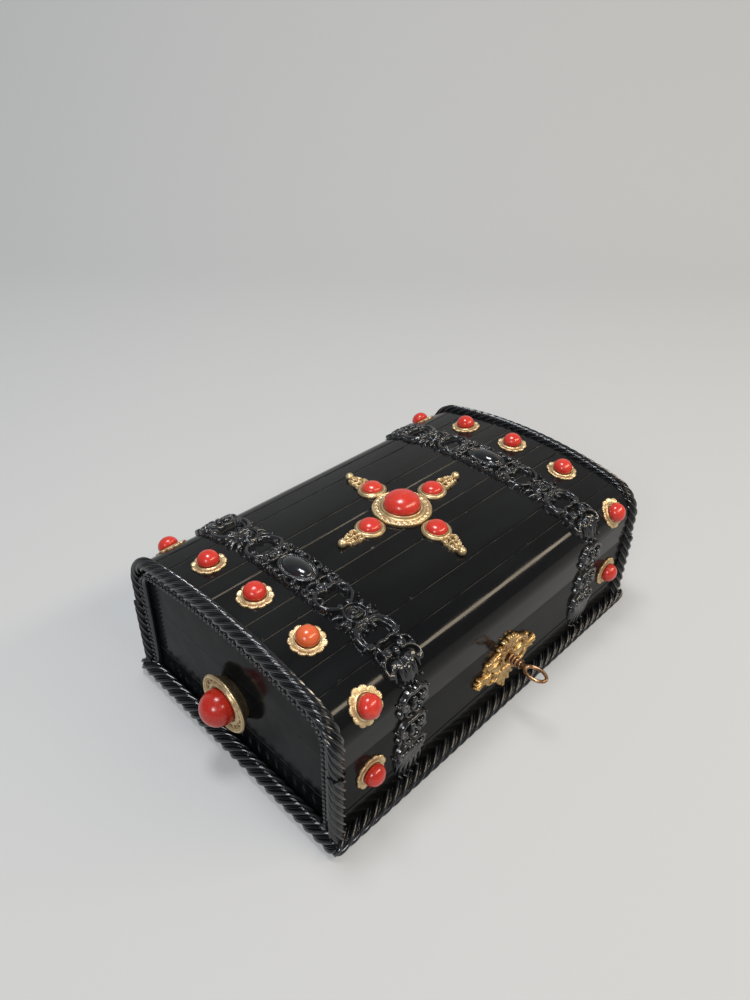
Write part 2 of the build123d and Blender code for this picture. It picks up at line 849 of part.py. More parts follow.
# Carved rope mouldings, each seated over an edge of the case
foot_ropes = {}
outer_x = foot_rope_x + foot_rope_radius
outer_y = foot_rope_y + foot_rope_radius
inner_x = foot_rope_x - foot_rope_radius
inner_y = foot_rope_y - foot_rope_radius
foot_rope_top = foot_rope_height + foot_rope_radius
for name, face in faces.items():
    with BuildPart() as rope:
        with BuildSketch(Plane.YZ.offset(-outer_x)):
            with Locations((face * foot_rope_y, foot_rope_height)):
                Circle(foot_rope_radius)
        extrude(amount=2 * outer_x)
        with BuildSketch(Plane.XY):
            with BuildLine():
                Polyline(
                    (-outer_x, face * outer_y),
                    (outer_x, face * outer_y),
                    (inner_x, face * inner_y),
                    (-inner_x, face * inner_y),
                    close=True,
                )
            make_face()
        extrude(amount=2 * foot_rope_top, mode=Mode.INTERSECT)
        add(case_block, mode=Mode.SUBTRACT)
    foot_ropes[name] = rope.part
    save(rope.part, f"base_rope_{name}")

for name, side in sides.items():
    with BuildPart() as rope:
        with BuildSketch(Plane.XZ.offset(-outer_y)):
            with Locations((side * foot_rope_x, foot_rope_height)):
                Circle(foot_rope_radius)
        extrude(amount=2 * outer_y)
        with BuildSketch(Plane.XY):
            with BuildLine():
                Polyline(
                    (side * outer_x, -outer_y),
                    (side * outer_x, outer_y),
                    (side * inner_x, inner_y),
                    (side * inner_x, -inner_y),
                    close=True,
                )
            make_face()
        extrude(amount=2 * foot_rope_top, mode=Mode.INTERSECT)
        add(case_block, mode=Mode.SUBTRACT)
    foot_ropes[name] = rope.part
    save(rope.part, f"base_rope_{name}")

with BuildPart() as corner_ropes:
    with BuildSketch(Plane.XY.offset(foot_rope_height)):
        with GridLocations(2 * corner_rope_x, 2 * corner_rope_y, 2, 2):
            Circle(corner_rope_radius)
    extrude(amount=base_rim - foot_rope_height)
    add(case_block, mode=Mode.SUBTRACT)
    for foot_rope in foot_ropes.values():
        add(foot_rope, mode=Mode.SUBTRACT)
save(corner_ropes.part, "base_corner_ropes")

for name, side in sides.items():
    with BuildPart() as lid_rope:
        with BuildLine(Plane.YZ.offset(side * rope_end_place)):
            Line((-rope_side_place, lid_rim), (-rope_side_place, shoulder_start))
            CenterArc(
                (-shoulder_reach, shoulder_start),
                shoulder_radius + rope_side_grow,
                180,
                shoulder_angle - 90,
            )
            CenterArc(
                (0, crown_centre),
                crown_radius + rope_side_grow,
                90 + shoulder_angle,
                -2 * shoulder_angle,
            )
            CenterArc(
                (shoulder_reach, shoulder_start),
                shoulder_radius + rope_side_grow,
                90 - shoulder_angle,
                shoulder_angle - 90,
            )
            Line((rope_side_place, shoulder_start), (rope_side_place, lid_rim))
        with BuildSketch(Plane(origin=(side * rope_end_place, -rope_side_place, lid_rim), z_dir=(0, 0, 1))):
            Circle(rope_radius)
        sweep()
        add(case_block, mode=Mode.SUBTRACT)
    save(lid_rope.part, f"lid_rope_{name}")


# Carved straps
def oval_boss(plane, length, width, rise):
    """Oval raised ground, its long way along the strap, footed inside the case."""
    with BuildSketch(plane.offset(-rosette_height)) as section:
        Ellipse(width / 2, length / 2)
    extrude(section.sketch, amount=rosette_height + rise)


for name, side in sides.items():
    strap_x = side * strap_place
    with BuildPart() as lid_strap:
        oval_boss(crown_plane(strap_x, 0), crown_frame_length, crown_frame_width, crown_frame_height)
        for face in faces.values():
            plane = crown_plane(strap_x, face * rosette_reach)
            oval_boss(plane, 2 * rosette_radius, 2 * rosette_radius, rosette_height)
            plane = shoulder_plane(strap_x, face, leaf_boss_tilt)
            oval_boss(plane, leaf_boss_length, leaf_boss_width, leaf_boss_height)
        oval_cabochon(
            crown_plane(strap_x, 0),
            cabochon_length,
            cabochon_width,
            cabochon_height,
            crown_frame_height,
        )
        add(case_block, mode=Mode.SUBTRACT)
        with BuildSketch(Plane.YZ.offset(strap_x - strap_width / 2)):
            lid_outline(strap_thickness, lid_rim)
            lid_outline(0, lid_rim - cut_margin, Mode.SUBTRACT)
        extrude(amount=strap_width)
    save(lid_strap.part, f"lid_strap_{name}")
    for face_name, face in faces.items():
        near = face * half_depth
        proud = face * (half_depth + strap_thickness)
        with BuildPart() as base_strap:
            span_box(
                (strap_x - strap_width / 2, min(near, proud), foot_rope_height),
                (strap_x + strap_width / 2, max(near, proud), base_rim),
            )
            with BuildSketch(wall_plane(strap_x, face, foot_rope_top + spray_height)):
                Ellipse(spray_width / 2, spray_length / 2)
            extrude(amount=spray_rise)
            add(foot_ropes[face_name], mode=Mode.SUBTRACT)
        save(base_strap.part, f"base_strap_{face_name}_{name}")

# Studs: scalloped plates bent to the surface, corals seated on them
plate_skin = outline_block(stud_plate_thickness, 0, -half_length, half_length)
wide_middle = (joint_reach[1] + joint_reach[2]) / 2
lid_stud_planes = []
base_stud_planes = []
for side in sides.values():
    x = side * stud_place
    lid_stud_planes.append(crown_plane(x, 0))
    for face in faces.values():
        lid_stud_planes.append(crown_plane(x, face * wide_middle))
        lid_stud_planes.append(shoulder_plane(x, face, shoulder_stud_tilt))
        base_stud_planes.append(wall_plane(x, face, base_stud_height))
stud_depth = shoulder_radius / 3


def stud_plates(planes):
    """Scalloped plates on a list of planes."""
    for plane in planes:
        with BuildSketch(plane.offset(-stud_depth)) as outline:
            Circle(stud_plate_radius - stud_lobe_radius / 2)
            with PolarLocations(stud_plate_radius - stud_lobe_radius, stud_lobe_count):
                Circle(stud_lobe_radius)
        extrude(outline.sketch, amount=2 * stud_depth)
    add(plate_skin, mode=Mode.INTERSECT)
    add(case_block, mode=Mode.SUBTRACT)


for group, planes in (("lid", lid_stud_planes), ("base", base_stud_planes)):
    with BuildPart() as plates:
        stud_plates(planes)
    save(plates.part, f"{group}_stud_plates")
    with BuildPart() as corals:
        for plane in planes:
            cabochon(plane, coral_radius, coral_rise, coral_edge, stud_depth)
        add(plate_skin, mode=Mode.SUBTRACT)
    save(corals.part, f"{group}_stud_corals")

# Cross on the crown
crown_middle = crown_plane(0, 0)
arm_planes = []
for side in sides.values():
    arm_planes.append((crown_plane(side * cross_arm, 0), (side, 0)))
    arm_planes.append((crown_plane(0, side * cross_arm), (0, side)))


def collet(plane, outer, rise, stone_radius, floor):
    """Turned setting: a rounded rim, a collet wall round the stone and a floor under it."""
    wall_inner = stone_radius + collet_clearance
    wall_outer = wall_inner + collet_wall
    turned(
        plane,
        [
            (0, -rise),
            (outer, -rise),
            (outer, rise * 0.45),
            (outer - rise * 0.3, rise * 0.8),
            (outer - rise * 0.6, rise * 0.9),
            (wall_outer, rise),
            (wall_outer, rise * 1.4),
            (wall_inner, rise * 1.4),
            (wall_inner, floor),
            (0, floor),
        ],
    )


with BuildPart() as cross_ring:
    collet(crown_middle, cross_ring_radius, cross_ring_rise, cross_coral_radius, stud_plate_thickness)
    add(case_block, mode=Mode.SUBTRACT)
save(cross_ring.part, "cross_ring")

with BuildPart() as cross_coral:
    seat = crown_middle.offset(stud_plate_thickness)
    cabochon(seat, cross_coral_radius, cross_coral_rise, coral_edge, 0)
save(cross_coral.part, "cross_coral")

with BuildPart() as bezels:
    for plane, way in arm_planes:
        collet(plane, bezel_radius, bezel_rise, bezel_coral_radius, stud_plate_thickness)
    add(case_block, mode=Mode.SUBTRACT)
    add(cross_ring.part, mode=Mode.SUBTRACT)
save(bezels.part, "cross_bezels")

with BuildPart() as bezel_corals:
    for plane, way in arm_planes:
        seat = plane.offset(stud_plate_thickness)
        cabochon(seat, bezel_coral_radius, bezel_coral_rise, coral_edge / 2, 0)
save(bezel_corals.part, "cross_small_corals")

finial_start = cross_arm + bezel_radius
with BuildPart() as finials:
    for side in sides.values():
        for along_x in (True, False):
            middle = finial_start + finial_length / 2
            plane = crown_plane(side * middle, 0) if along_x else crown_plane(0, side * middle)
            way = (side, 0) if along_x else (0, side)
            across = (way[1], way[0])
            with BuildSketch(plane.offset(-finial_thickness)):
                for lobe_way, lobe_across, radius in finial_lobes:
                    shift = lobe_way * finial_length
                    spread = lobe_across * finial_width
                    spot = (way[0] * shift + across[0] * spread, way[1] * shift + across[1] * spread)
                    with Locations(spot):
                        Circle(radius * finial_width)
            extrude(amount=2 * finial_thickness)
            tip = finial_length / 2 - finial_ball_radius
            ball = plane.offset(finial_ball_lift)
            ball = Plane(
                origin=ball.from_local_coords((way[0] * tip, way[1] * tip, 0)),
                x_dir=ball.x_dir,
                z_dir=ball.z_dir,
            )
            with Locations(ball.location):
                Sphere(finial_ball_radius)
    add(case_block, mode=Mode.SUBTRACT)
    add(bezels.part, mode=Mode.SUBTRACT)
save(finials.part, "cross_finials")

# Round bosses on the ends
for name, side in sides.items():
    plane = end_plane(side, boss_height_up)
    stone = boss_coral_radius + boss_stone_clearance
    inner_rim = stone + boss_rim_width * 0.8
    outer_rim = boss_radius - boss_rim_width
    channel = boss_rise - boss_channel_depth
    with BuildPart() as boss:
        turned(
            plane,
            [
                (0, 0),
                (boss_foot_radius, 0),
                (boss_foot_radius, boss_foot_rise),
                (boss_radius, boss_rise - boss_edge_thickness),
                (boss_radius, boss_rise - boss_edge_thickness / 3),
                (boss_radius - boss_rim_width / 3, boss_rise),
                (boss_radius - boss_rim_width * 0.7, boss_rise),
                (outer_rim, channel),
                (inner_rim, channel),
                (inner_rim - boss_rim_width * 0.2, boss_rise - boss_channel_depth / 3),
                (stone, boss_rise - boss_channel_depth / 3),
                (stone, boss_floor),
                (0, boss_floor),
            ],
        )
    save(boss.part, f"end_boss_{name}")
    with BuildPart() as boss_coral:
        cabochon(
            plane.offset(boss_floor),
            boss_coral_radius,
            boss_coral_rise - boss_floor,
            boss_coral_edge - boss_floor,
            0,
        )
    save(boss_coral.part, f"end_coral_{name}")

# Lining
lining_top = base_rim - lining_below_rim
lined_half_length = inner_half_length - lining_thickness
lined_half_depth = inner_half_depth - lining_thickness
with BuildPart() as base_lining:
    for face in faces.values():
        near = face * inner_half_depth
        lined = face * lined_half_depth
        span_box(
            (-inner_half_length, min(near, lined), floor_thickness),
            (inner_half_length, max(near, lined), lining_top),
        )
    for side in sides.values():
        near = side * inner_half_length
        lined = side * lined_half_length
        span_box(
            (min(near, lined), -lined_half_depth, floor_thickness),
            (max(near, lined), lined_half_depth, lining_top),
        )
    span_box(
        (-cover_half_width, -inner_half_depth - cut_margin, lock_case_bottom - lock_cover_drop),
        (cover_half_width, -lined_half_depth + cut_margin, base_rim),
        Mode.SUBTRACT,
    )
save(base_lining.part, "base_wall_lining")

with BuildPart() as floor_pad:
    pad_half_length = lined_half_length - pad_clearance
    pad_half_depth = lined_half_depth - pad_clearance
    span_box(
        (-pad_half_length, -pad_half_depth, floor_thickness),
        (pad_half_length, pad_half_depth, floor_thickness + pad_thickness),
    )
    fillet(floor_pad.faces().sort_by(Axis.Z)[-1].edges(), radius=pad_thickness / 2)
save(floor_pad.part, "floor_pad")

with BuildPart() as lid_lining:
    with BuildSketch(Plane.YZ.offset(-inner_half_length)):
        lid_outline(-wall_thickness, lid_rim + lining_below_rim)
        lid_outline(-wall_thickness - lining_thickness, lid_rim, Mode.SUBTRACT)
    extrude(amount=2 * inner_half_length)
    for side in sides.values():
        low_x = min(side * inner_half_length, side * lined_half_length)
        with BuildSketch(Plane.YZ.offset(low_x)):
            lid_outline(-wall_thickness - lining_thickness, lid_rim + lining_below_rim)
        extrude(amount=lining_thickness)
save(lid_lining.part, "lid_lining")
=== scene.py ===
"""Domed black lacquer casket with carved mouldings, coral studs, a gilt cross, lock and key."""
import logging
import math
from dataclasses import dataclass, field
from enum import Enum
from typing import Callable, Optional, Sequence

import bmesh
import bpy
import numpy as np
from mathutils import Matrix, Vector


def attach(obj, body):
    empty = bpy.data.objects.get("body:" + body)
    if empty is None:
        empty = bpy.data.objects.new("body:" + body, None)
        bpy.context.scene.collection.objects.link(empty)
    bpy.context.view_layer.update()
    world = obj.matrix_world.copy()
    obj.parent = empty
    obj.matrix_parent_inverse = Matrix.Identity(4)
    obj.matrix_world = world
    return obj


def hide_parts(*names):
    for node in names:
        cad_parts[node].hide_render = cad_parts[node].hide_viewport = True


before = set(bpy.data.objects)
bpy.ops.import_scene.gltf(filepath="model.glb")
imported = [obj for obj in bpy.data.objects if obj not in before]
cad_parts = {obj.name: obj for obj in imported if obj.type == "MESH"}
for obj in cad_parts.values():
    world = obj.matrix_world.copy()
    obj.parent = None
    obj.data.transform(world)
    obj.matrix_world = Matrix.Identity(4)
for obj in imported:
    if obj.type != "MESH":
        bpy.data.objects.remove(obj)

for startup_name in ("Cube", "Light", "Camera"):
    startup_object = bpy.data.objects.get(startup_name)
    if startup_object is not None:
        bpy.data.objects.remove(startup_object, do_unlink=True)
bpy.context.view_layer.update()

logging.basicConfig(level=logging.INFO, format="%(message)s")
log = logging.getLogger("casket")

MM = 0.001
Point2 = tuple[float, float]
Point3 = tuple[float, float, float]
Colour = tuple[float, float, float]
# Turns places across and along a patch, and heights above it, into points of the case.
Place = Callable[[np.ndarray, np.ndarray, np.ndarray], np.ndarray]
# Points, faces, and the values that each point carries, by name.
Solid = tuple[np.ndarray, list, dict[str, np.ndarray]]
SIDES = (("left", -1), ("right", 1))


class Body(Enum):
    """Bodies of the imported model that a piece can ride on."""

    BASE = "base"
    LID = "lid"
    KEY = "key"


class Slot(Enum):
    """Material slots of the record."""

    CARVED = "carved_black"
    CORAL = "coral"
    PALE_GILT = "pale_gilt"
    RICH_GILT = "rich_gilt"
    KEY = "key_bronze"
    CLOTH = "lining_cloth"


# Materials


def rgba(colour: Colour) -> tuple[float, float, float, float]:
    """Colour with full cover."""
    return (*colour, 1.0)


class Paint:
    """One procedural material on Object coordinates, built node by node."""

    def __init__(self, name: str) -> None:
        """Make the material and its shader.

        Args:
            name: name of the material.
        """
        self.material = bpy.data.materials.new(name)
        self.material.use_nodes = True
        self.tree = self.material.node_tree
        self.shader = self.tree.nodes["Principled BSDF"]
        self.output = self.tree.nodes["Material Output"]
        self.place = self.add("ShaderNodeTexCoord").outputs["Object"]

    def add(self, kind: str, **settings: object) -> bpy.types.Node:
        """New node with its settings."""
        node = self.tree.nodes.new(kind)
        for key, value in settings.items():
            setattr(node, key, value)
        return node

    def join(self, source: object, target: bpy.types.NodeSocket) -> None:
        """Link a socket to an input, or set the input to a plain value."""
        if isinstance(source, bpy.types.NodeSocket):
            self.tree.links.new(source, target)
        else:
            target.default_value = source

    def stretched(self, scale: Point3, turn: float = 0.0) -> bpy.types.NodeSocket:
        """Object coordinates, scaled along each axis and turned about the upright."""
        node = self.add("ShaderNodeMapping")
        self.join(self.place, node.inputs["Vector"])
        node.inputs["Scale"].default_value = scale
        node.inputs["Rotation"].default_value = (0, 0, turn)
        return node.outputs["Vector"]

    def noise(
        self,
        scale: float,
        detail: float = 4.0,
        rough: float = 0.55,
        stretch: Optional[Point3] = None,
        turn: float = 0.0,
    ) -> bpy.types.NodeSocket:
        """Noise value.

        Args:
            scale: waves in a metre.
            detail: number of finer layers.
            rough: strength of the finer layers.
            stretch: share of the scale along each axis.
            turn: turn of the stretched axes about the upright, in radians.

        Returns:
            The noise's Fac socket.
        """
        node = self.add("ShaderNodeTexNoise")
        node.inputs["Scale"].default_value = scale
        node.inputs["Detail"].default_value = detail
        node.inputs["Roughness"].default_value = rough
        self.join(self.place if stretch is None else self.stretched(stretch, turn), node.inputs["Vector"])
        return node.outputs["Fac"]

    def band(
        self, value: bpy.types.NodeSocket, low: float, high: float, start: float = 0.0, end: float = 1.0
    ) -> bpy.types.NodeSocket:
        """Value mapped smoothly from low..high to start..end."""
        node = self.add("ShaderNodeMapRange", interpolation_type="SMOOTHSTEP")
        self.join(value, node.inputs["Value"])
        for key, number in (("From Min", low), ("From Max", high), ("To Min", start), ("To Max", end)):
            node.inputs[key].default_value = number
        return node.outputs["Result"]

    def math(self, kind: str, first: object, second: object = 0.0) -> bpy.types.NodeSocket:
        """Result of a Math node."""
        node = self.add("ShaderNodeMath", operation=kind)
        self.join(first, node.inputs[0])
        self.join(second, node.inputs[1])
        return node.outputs["Value"]

    def mix(self, share: object, first: object, second: object) -> bpy.types.NodeSocket:
        """Colour mixed from first to second."""
        node = self.add("ShaderNodeMix", data_type="RGBA")
        self.join(share, node.inputs["Factor"])
        for source, target in ((first, node.inputs[6]), (second, node.inputs[7])):
            self.join(rgba(source) if isinstance(source, tuple) else source, target)
        return node.outputs[2]

    def mark(self, name: str) -> bpy.types.NodeSocket:
        """Value that a mesh carries under a name."""
        return self.add("ShaderNodeAttribute", attribute_name=name).outputs["Fac"]

    def axis(self, letter: str) -> bpy.types.NodeSocket:
        """One Object coordinate."""
        node = self.add("ShaderNodeSeparateXYZ")
        self.join(self.place, node.inputs["Vector"])
        return node.outputs[letter]

    def relief(self, height: bpy.types.NodeSocket, strength: float, depth: float) -> None:
        """Add a bump under the ones already there."""
        node = self.add("ShaderNodeBump")
        node.inputs["Strength"].default_value = strength
        node.inputs["Distance"].default_value = depth
        self.join(height, node.inputs["Height"])
        normal = self.shader.inputs["Normal"]
        if normal.is_linked:
            self.join(normal.links[0].from_socket, node.inputs["Normal"])
        self.join(node.outputs["Normal"], normal)

    def set(self, **values: object) -> bpy.types.Material:
        """Set the shader's sockets by name, spaces as underscores.

        Args:
            values: numbers, colours or sockets.

        Returns:
            The finished material.
        """
        for key, value in values.items():
            target = self.shader.inputs[key.replace("_", " ")]
            plain = target.type == "RGBA" and isinstance(value, tuple)
            self.join(rgba(value) if plain else value, target)
        return self.material


@dataclass(frozen=True)
class Lacquer:
    """Polished black lacquer on wood, with pale lines along its joints: rubbed lacquer and a painted
    highlight on the joint edges.
    """

    name: str
    axis: str
    joints: tuple[float, ...]
    depth: Colour = (0.0040, 0.0042, 0.0047)
    bloom: Colour = (0.0085, 0.0092, 0.0098)
    # Colour of the pale joint lines: rubbed lacquer, and a painted highlight on the joint edges.
    joint_rub_and_highlight: Colour = (0.11, 0.10, 0.082)
    line: float = 0.00016
    sheen: float = 0.2

    def material(self) -> bpy.types.Material:
        """Material of the boards or slats.

        Returns:
            The lacquer's material.
        """
        paint = Paint(self.name)
        reach = paint.math("ABSOLUTE", paint.axis(self.axis))
        near: object = 1.0
        for joint in self.joints:
            gap = paint.math("ABSOLUTE", paint.math("SUBTRACT", reach, joint))
            near = paint.math("MINIMUM", near, gap)
        broken = paint.noise(70, 5, 0.7, (0.5, 3, 3))
        # Painted highlight: a thin pale line along each joint, broken by noise, stands for the lit joint
        # edge as well as rubbed lacquer; the chips near the joints are rubbing only.
        edge = paint.band(near, self.line * 0.4, self.line * 1.6, 1, 0)
        edge = paint.math("MULTIPLY", edge, paint.band(broken, 0.36, 0.56))
        chips = paint.band(paint.noise(240, 3, 0.7), 0.66, 0.70)
        close = paint.band(near, 0.0004, 0.0016, 1, 0)
        chips = paint.math("MULTIPLY", chips, close)
        rub_and_highlight_mask = paint.math("MAXIMUM", paint.math("MULTIPLY", edge, 0.75), paint.math("MULTIPLY", chips, 0.6))
        cloud = paint.band(paint.noise(18, 3, 0.5, (0.4, 1.6, 1.6)), 0.35, 0.7)
        colour = paint.mix(cloud, self.depth, self.bloom)
        colour = paint.mix(rub_and_highlight_mask, colour, self.joint_rub_and_highlight)
        smear = paint.band(paint.noise(45, 5, 0.6, (0.5, 1.5, 1.5)), 0.3, 0.75, 0.09, 0.2)
        rough = paint.math("MAXIMUM", smear, paint.math("MULTIPLY", rub_and_highlight_mask, 0.6))
        paint.relief(paint.noise(16, 2, 0.4, (0.35, 1.6, 1.6)), 0.5, 0.0016)
        paint.relief(paint.noise(130, 3, 0.5, (0.12, 1.0, 1.0)), 0.35, 0.00018)
        scratches = paint.band(paint.noise(900, 2, 0.6, (0.02, 1, 1), 0.12), 0.62, 0.72)
        paint.relief(scratches, 0.12, 0.00004)
        return paint.set(Base_Color=colour, Roughness=rough, IOR=1.45, Specular_IOR_Level=self.sheen)


@dataclass(frozen=True)
class CarvedBlack:
    """Carved and polished black, duller in its hollows."""

    name: str = "carved_black_polish"
    depth: Colour = (0.0045, 0.005, 0.0062)
    bloom: Colour = (0.010, 0.0115, 0.014)
    hollow: Colour = (0.008, 0.007, 0.006)

    def material(self) -> bpy.types.Material:
        """Material of the ropes and straps."""
        paint = Paint(self.name)
        cloud = paint.band(paint.noise(60, 4, 0.6), 0.35, 0.7)
        colour = paint.mix(cloud, self.depth, self.bloom)
        dull = paint.band(paint.mark("hollow"), 0.15, 0.9)
        colour = paint.mix(dull, colour, self.hollow)
        rough = paint.band(paint.noise(150, 4, 0.65), 0.3, 0.75, 0.08, 0.17)
        rough = paint.math("ADD", rough, paint.math("MULTIPLY", dull, 0.3))
        paint.relief(paint.noise(420, 4, 0.6), 0.3, 0.00022)
        paint.relief(paint.noise(120, 2, 0.5), 0.3, 0.0004)
        return paint.set(Base_Color=colour, Roughness=rough, IOR=1.58, Coat_Weight=0.3, Coat_Roughness=0.07)


@dataclass(frozen=True)
class Coral:
    """Polished coral: each bead has its own tone, from deep red to orange."""

    name: str = "polished_coral"
    deep: Colour = (0.40, 0.014, 0.007)
    middle: Colour = (0.53, 0.030, 0.018)
    orange: Colour = (0.60, 0.110, 0.030)
    pale: Colour = (0.66, 0.100, 0.050)

    def material(self) -> bpy.types.Material:
        """Material of every coral bead."""
        paint = Paint(self.name)
        tone = paint.mark("tone")
        colour = paint.mix(paint.band(tone, 0.0, 0.5), self.deep, self.middle)
        colour = paint.mix(paint.band(tone, 0.5, 1.0), colour, self.orange)
        mottle = paint.band(paint.noise(230, 5, 0.65), 0.48, 0.8, 0.0, 0.45)
        colour = paint.mix(mottle, colour, self.pale)
        veins = paint.band(paint.noise(170, 4, 0.7, (1, 1, 2.5)), 0.52, 0.60, 0.0, 0.28)
        colour = paint.mix(veins, colour, self.deep)
        pits = paint.band(paint.noise(1100, 2, 0.5), 0.68, 0.76)
        colour = paint.mix(paint.math("MULTIPLY", pits, 0.35), colour, (0.25, 0.02, 0.015))
        rough = paint.band(paint.noise(400, 3, 0.6), 0.3, 0.7, 0.17, 0.29)
        paint.relief(paint.noise(190, 3, 0.5), 0.4, 0.0003)
        return paint.set(
            Base_Color=colour,
            Roughness=rough,
            IOR=1.5,
            Subsurface_Weight=0.06,
            Subsurface_Radius=(0.004, 0.0012, 0.0008),
            Subsurface_Scale=0.6,
            Coat_Weight=0.12,
            Coat_Roughness=0.18,
        )


@dataclass(frozen=True)
class Gilding:
    """Metal rubbed bright in random patches, with random grime and painted shade darkening its hollows."""

    name: str
    ridge: Colour
    face: Colour
    # Colour of random grime and of the painted shade in the hollows.
    hollow: Colour
    rough: float
    metallic: float

    def material(self) -> bpy.types.Material:
        """Material of one gilt or bronze finish."""
        paint = Paint(self.name)
        rub = paint.band(paint.noise(260, 5, 0.65), 0.35, 0.7)
        colour = paint.mix(rub, self.face, self.ridge)
        # Random grime and painted shade: the grime noise adds real dirt, and the hollow mark darkens the
        # hollows towards the hollow colour.
        grime = paint.band(paint.noise(620, 4, 0.7), 0.5, 0.72, 0.0, 0.45)
        sunk = paint.band(paint.mark("hollow"), 0.08, 0.75)
        colour = paint.mix(paint.math("MAXIMUM", grime, sunk), colour, self.hollow)
        rough = paint.band(paint.noise(500, 4, 0.6), 0.3, 0.7, self.rough - 0.07, self.rough + 0.1)
        rough = paint.math("ADD", rough, paint.math("MULTIPLY", sunk, 0.2))
        paint.relief(paint.noise(900, 4, 0.6), 0.35, 0.00016)
        paint.relief(paint.noise(260, 3, 0.5), 0.3, 0.0003)
        return paint.set(Base_Color=colour, Roughness=rough, Metallic=self.metallic)


@dataclass(frozen=True)
class Velvet:
    """Dark red silk velvet."""

    name: str = "lining_velvet"
    pile: Colour = (0.21, 0.012, 0.020)
    shade: Colour = (0.095, 0.005, 0.010)

    def material(self) -> bpy.types.Material:
        """Material of the lining and the floor pad."""
        paint = Paint(self.name)
        brushed = paint.band(paint.noise(30, 4, 0.6), 0.35, 0.68)
        colour = paint.mix(brushed, self.shade, self.pile)
        fibre = paint.noise(2600, 3, 0.7)
        colour = paint.mix(paint.band(fibre, 0.35, 0.75, 0.0, 0.4), colour, self.shade)
        paint.relief(fibre, 0.5, 0.0003)
        paint.relief(paint.noise(45, 3, 0.5), 0.4, 0.0012)
        return paint.set(
            Base_Color=colour,
            Roughness=0.9,
            Sheen_Weight=0.55,
            Sheen_Roughness=0.35,
            Sheen_Tint=(0.75, 0.25, 0.25),
            Specular_IOR_Level=0.2,
        )


@dataclass(frozen=True)
class PlainStage:
    """Plain floor or backdrop, pale to the camera and in reflections."""

    name: str
    colour: Colour
    seen: Colour
    share: float

    def material(self) -> bpy.types.Material:
        """Material of the floor or the backdrop."""
        paint = Paint(self.name)
        paint.set(Base_Color=self.colour, Roughness=0.8, Specular_IOR_Level=0.1)
        rays = paint.add("ShaderNodeLightPath")
        shown = rays.outputs["Is Camera Ray"]
        for ray in ("Is Glossy Ray", "Is Transmission Ray"):
            shown = paint.math("MAXIMUM", shown, rays.outputs[ray])
        glow = paint.add("ShaderNodeEmission")
        glow.inputs["Color"].default_value = rgba(self.seen)
        blend = paint.add("ShaderNodeMixShader")
        paint.join(paint.math("MULTIPLY", shown, self.share), blend.inputs["Fac"])
        paint.join(paint.shader.outputs["BSDF"], blend.inputs[1])
        paint.join(glow.outputs["Emission"], blend.inputs[2])
        paint.join(blend.outputs["Shader"], paint.output.inputs["Surface"])
        return paint.material


@dataclass
class Finishes:
    """Every finish of the casket, made once."""

    slats: bpy.types.Material = field(init=False)
    boards: bpy.types.Material = field(init=False)
    carved: bpy.types.Material = field(init=False)
    coral: bpy.types.Material = field(init=False)
    pale_gilt: bpy.types.Material = field(init=False)
    rich_gilt: bpy.types.Material = field(init=False)
    bronze: bpy.types.Material = field(init=False)
    brass: bpy.types.Material = field(init=False)
    steel: bpy.types.Material = field(init=False)
    velvet: bpy.types.Material = field(init=False)

    def __post_init__(self) -> None:
        """Build the materials."""
        self.slats = Lacquer("lid_lacquer", "Y", (0.014, 0.0275, 0.0555, 0.0695)).material()
        self.boards = Lacquer("board_lacquer", "Z", (0.025, 0.0600), sheen=0.05).material()
        self.carved = CarvedBlack().material()
        self.coral = Coral().material()
        # Each metal: rubbed colour, face colour, and the colour of grime and painted shade in the hollows;
        # then roughness and metallic.
        self.pale_gilt = Gilding(
            "pale_gilding", (0.80, 0.64, 0.39), (0.57, 0.42, 0.22), (0.14, 0.075, 0.03), 0.34, 0.78
        ).material()
        self.rich_gilt = Gilding(
            "yellow_gilding", (0.72, 0.50, 0.23), (0.42, 0.25, 0.09), (0.07, 0.03, 0.01), 0.27, 0.9
        ).material()
        self.bronze = Gilding(
            "key_bronze", (0.52, 0.32, 0.17), (0.27, 0.14, 0.07), (0.06, 0.027, 0.014), 0.25, 0.9
        ).material()
        self.brass = Gilding(
            "lock_brass", (0.66, 0.50, 0.25), (0.50, 0.36, 0.15), (0.14, 0.09, 0.04), 0.34, 0.9
        ).material()
        self.steel = Gilding(
            "screw_steel", (0.55, 0.54, 0.52), (0.40, 0.39, 0.38), (0.10, 0.09, 0.08), 0.34, 0.9
        ).material()
        self.velvet = Velvet().material()


# Meshes


def link_object(name: str, data: bpy.types.ID) -> bpy.types.Object:
    """New object that holds some data, linked to the scene."""
    piece = bpy.data.objects.new(name, data)
    bpy.context.scene.collection.objects.link(piece)
    return piece


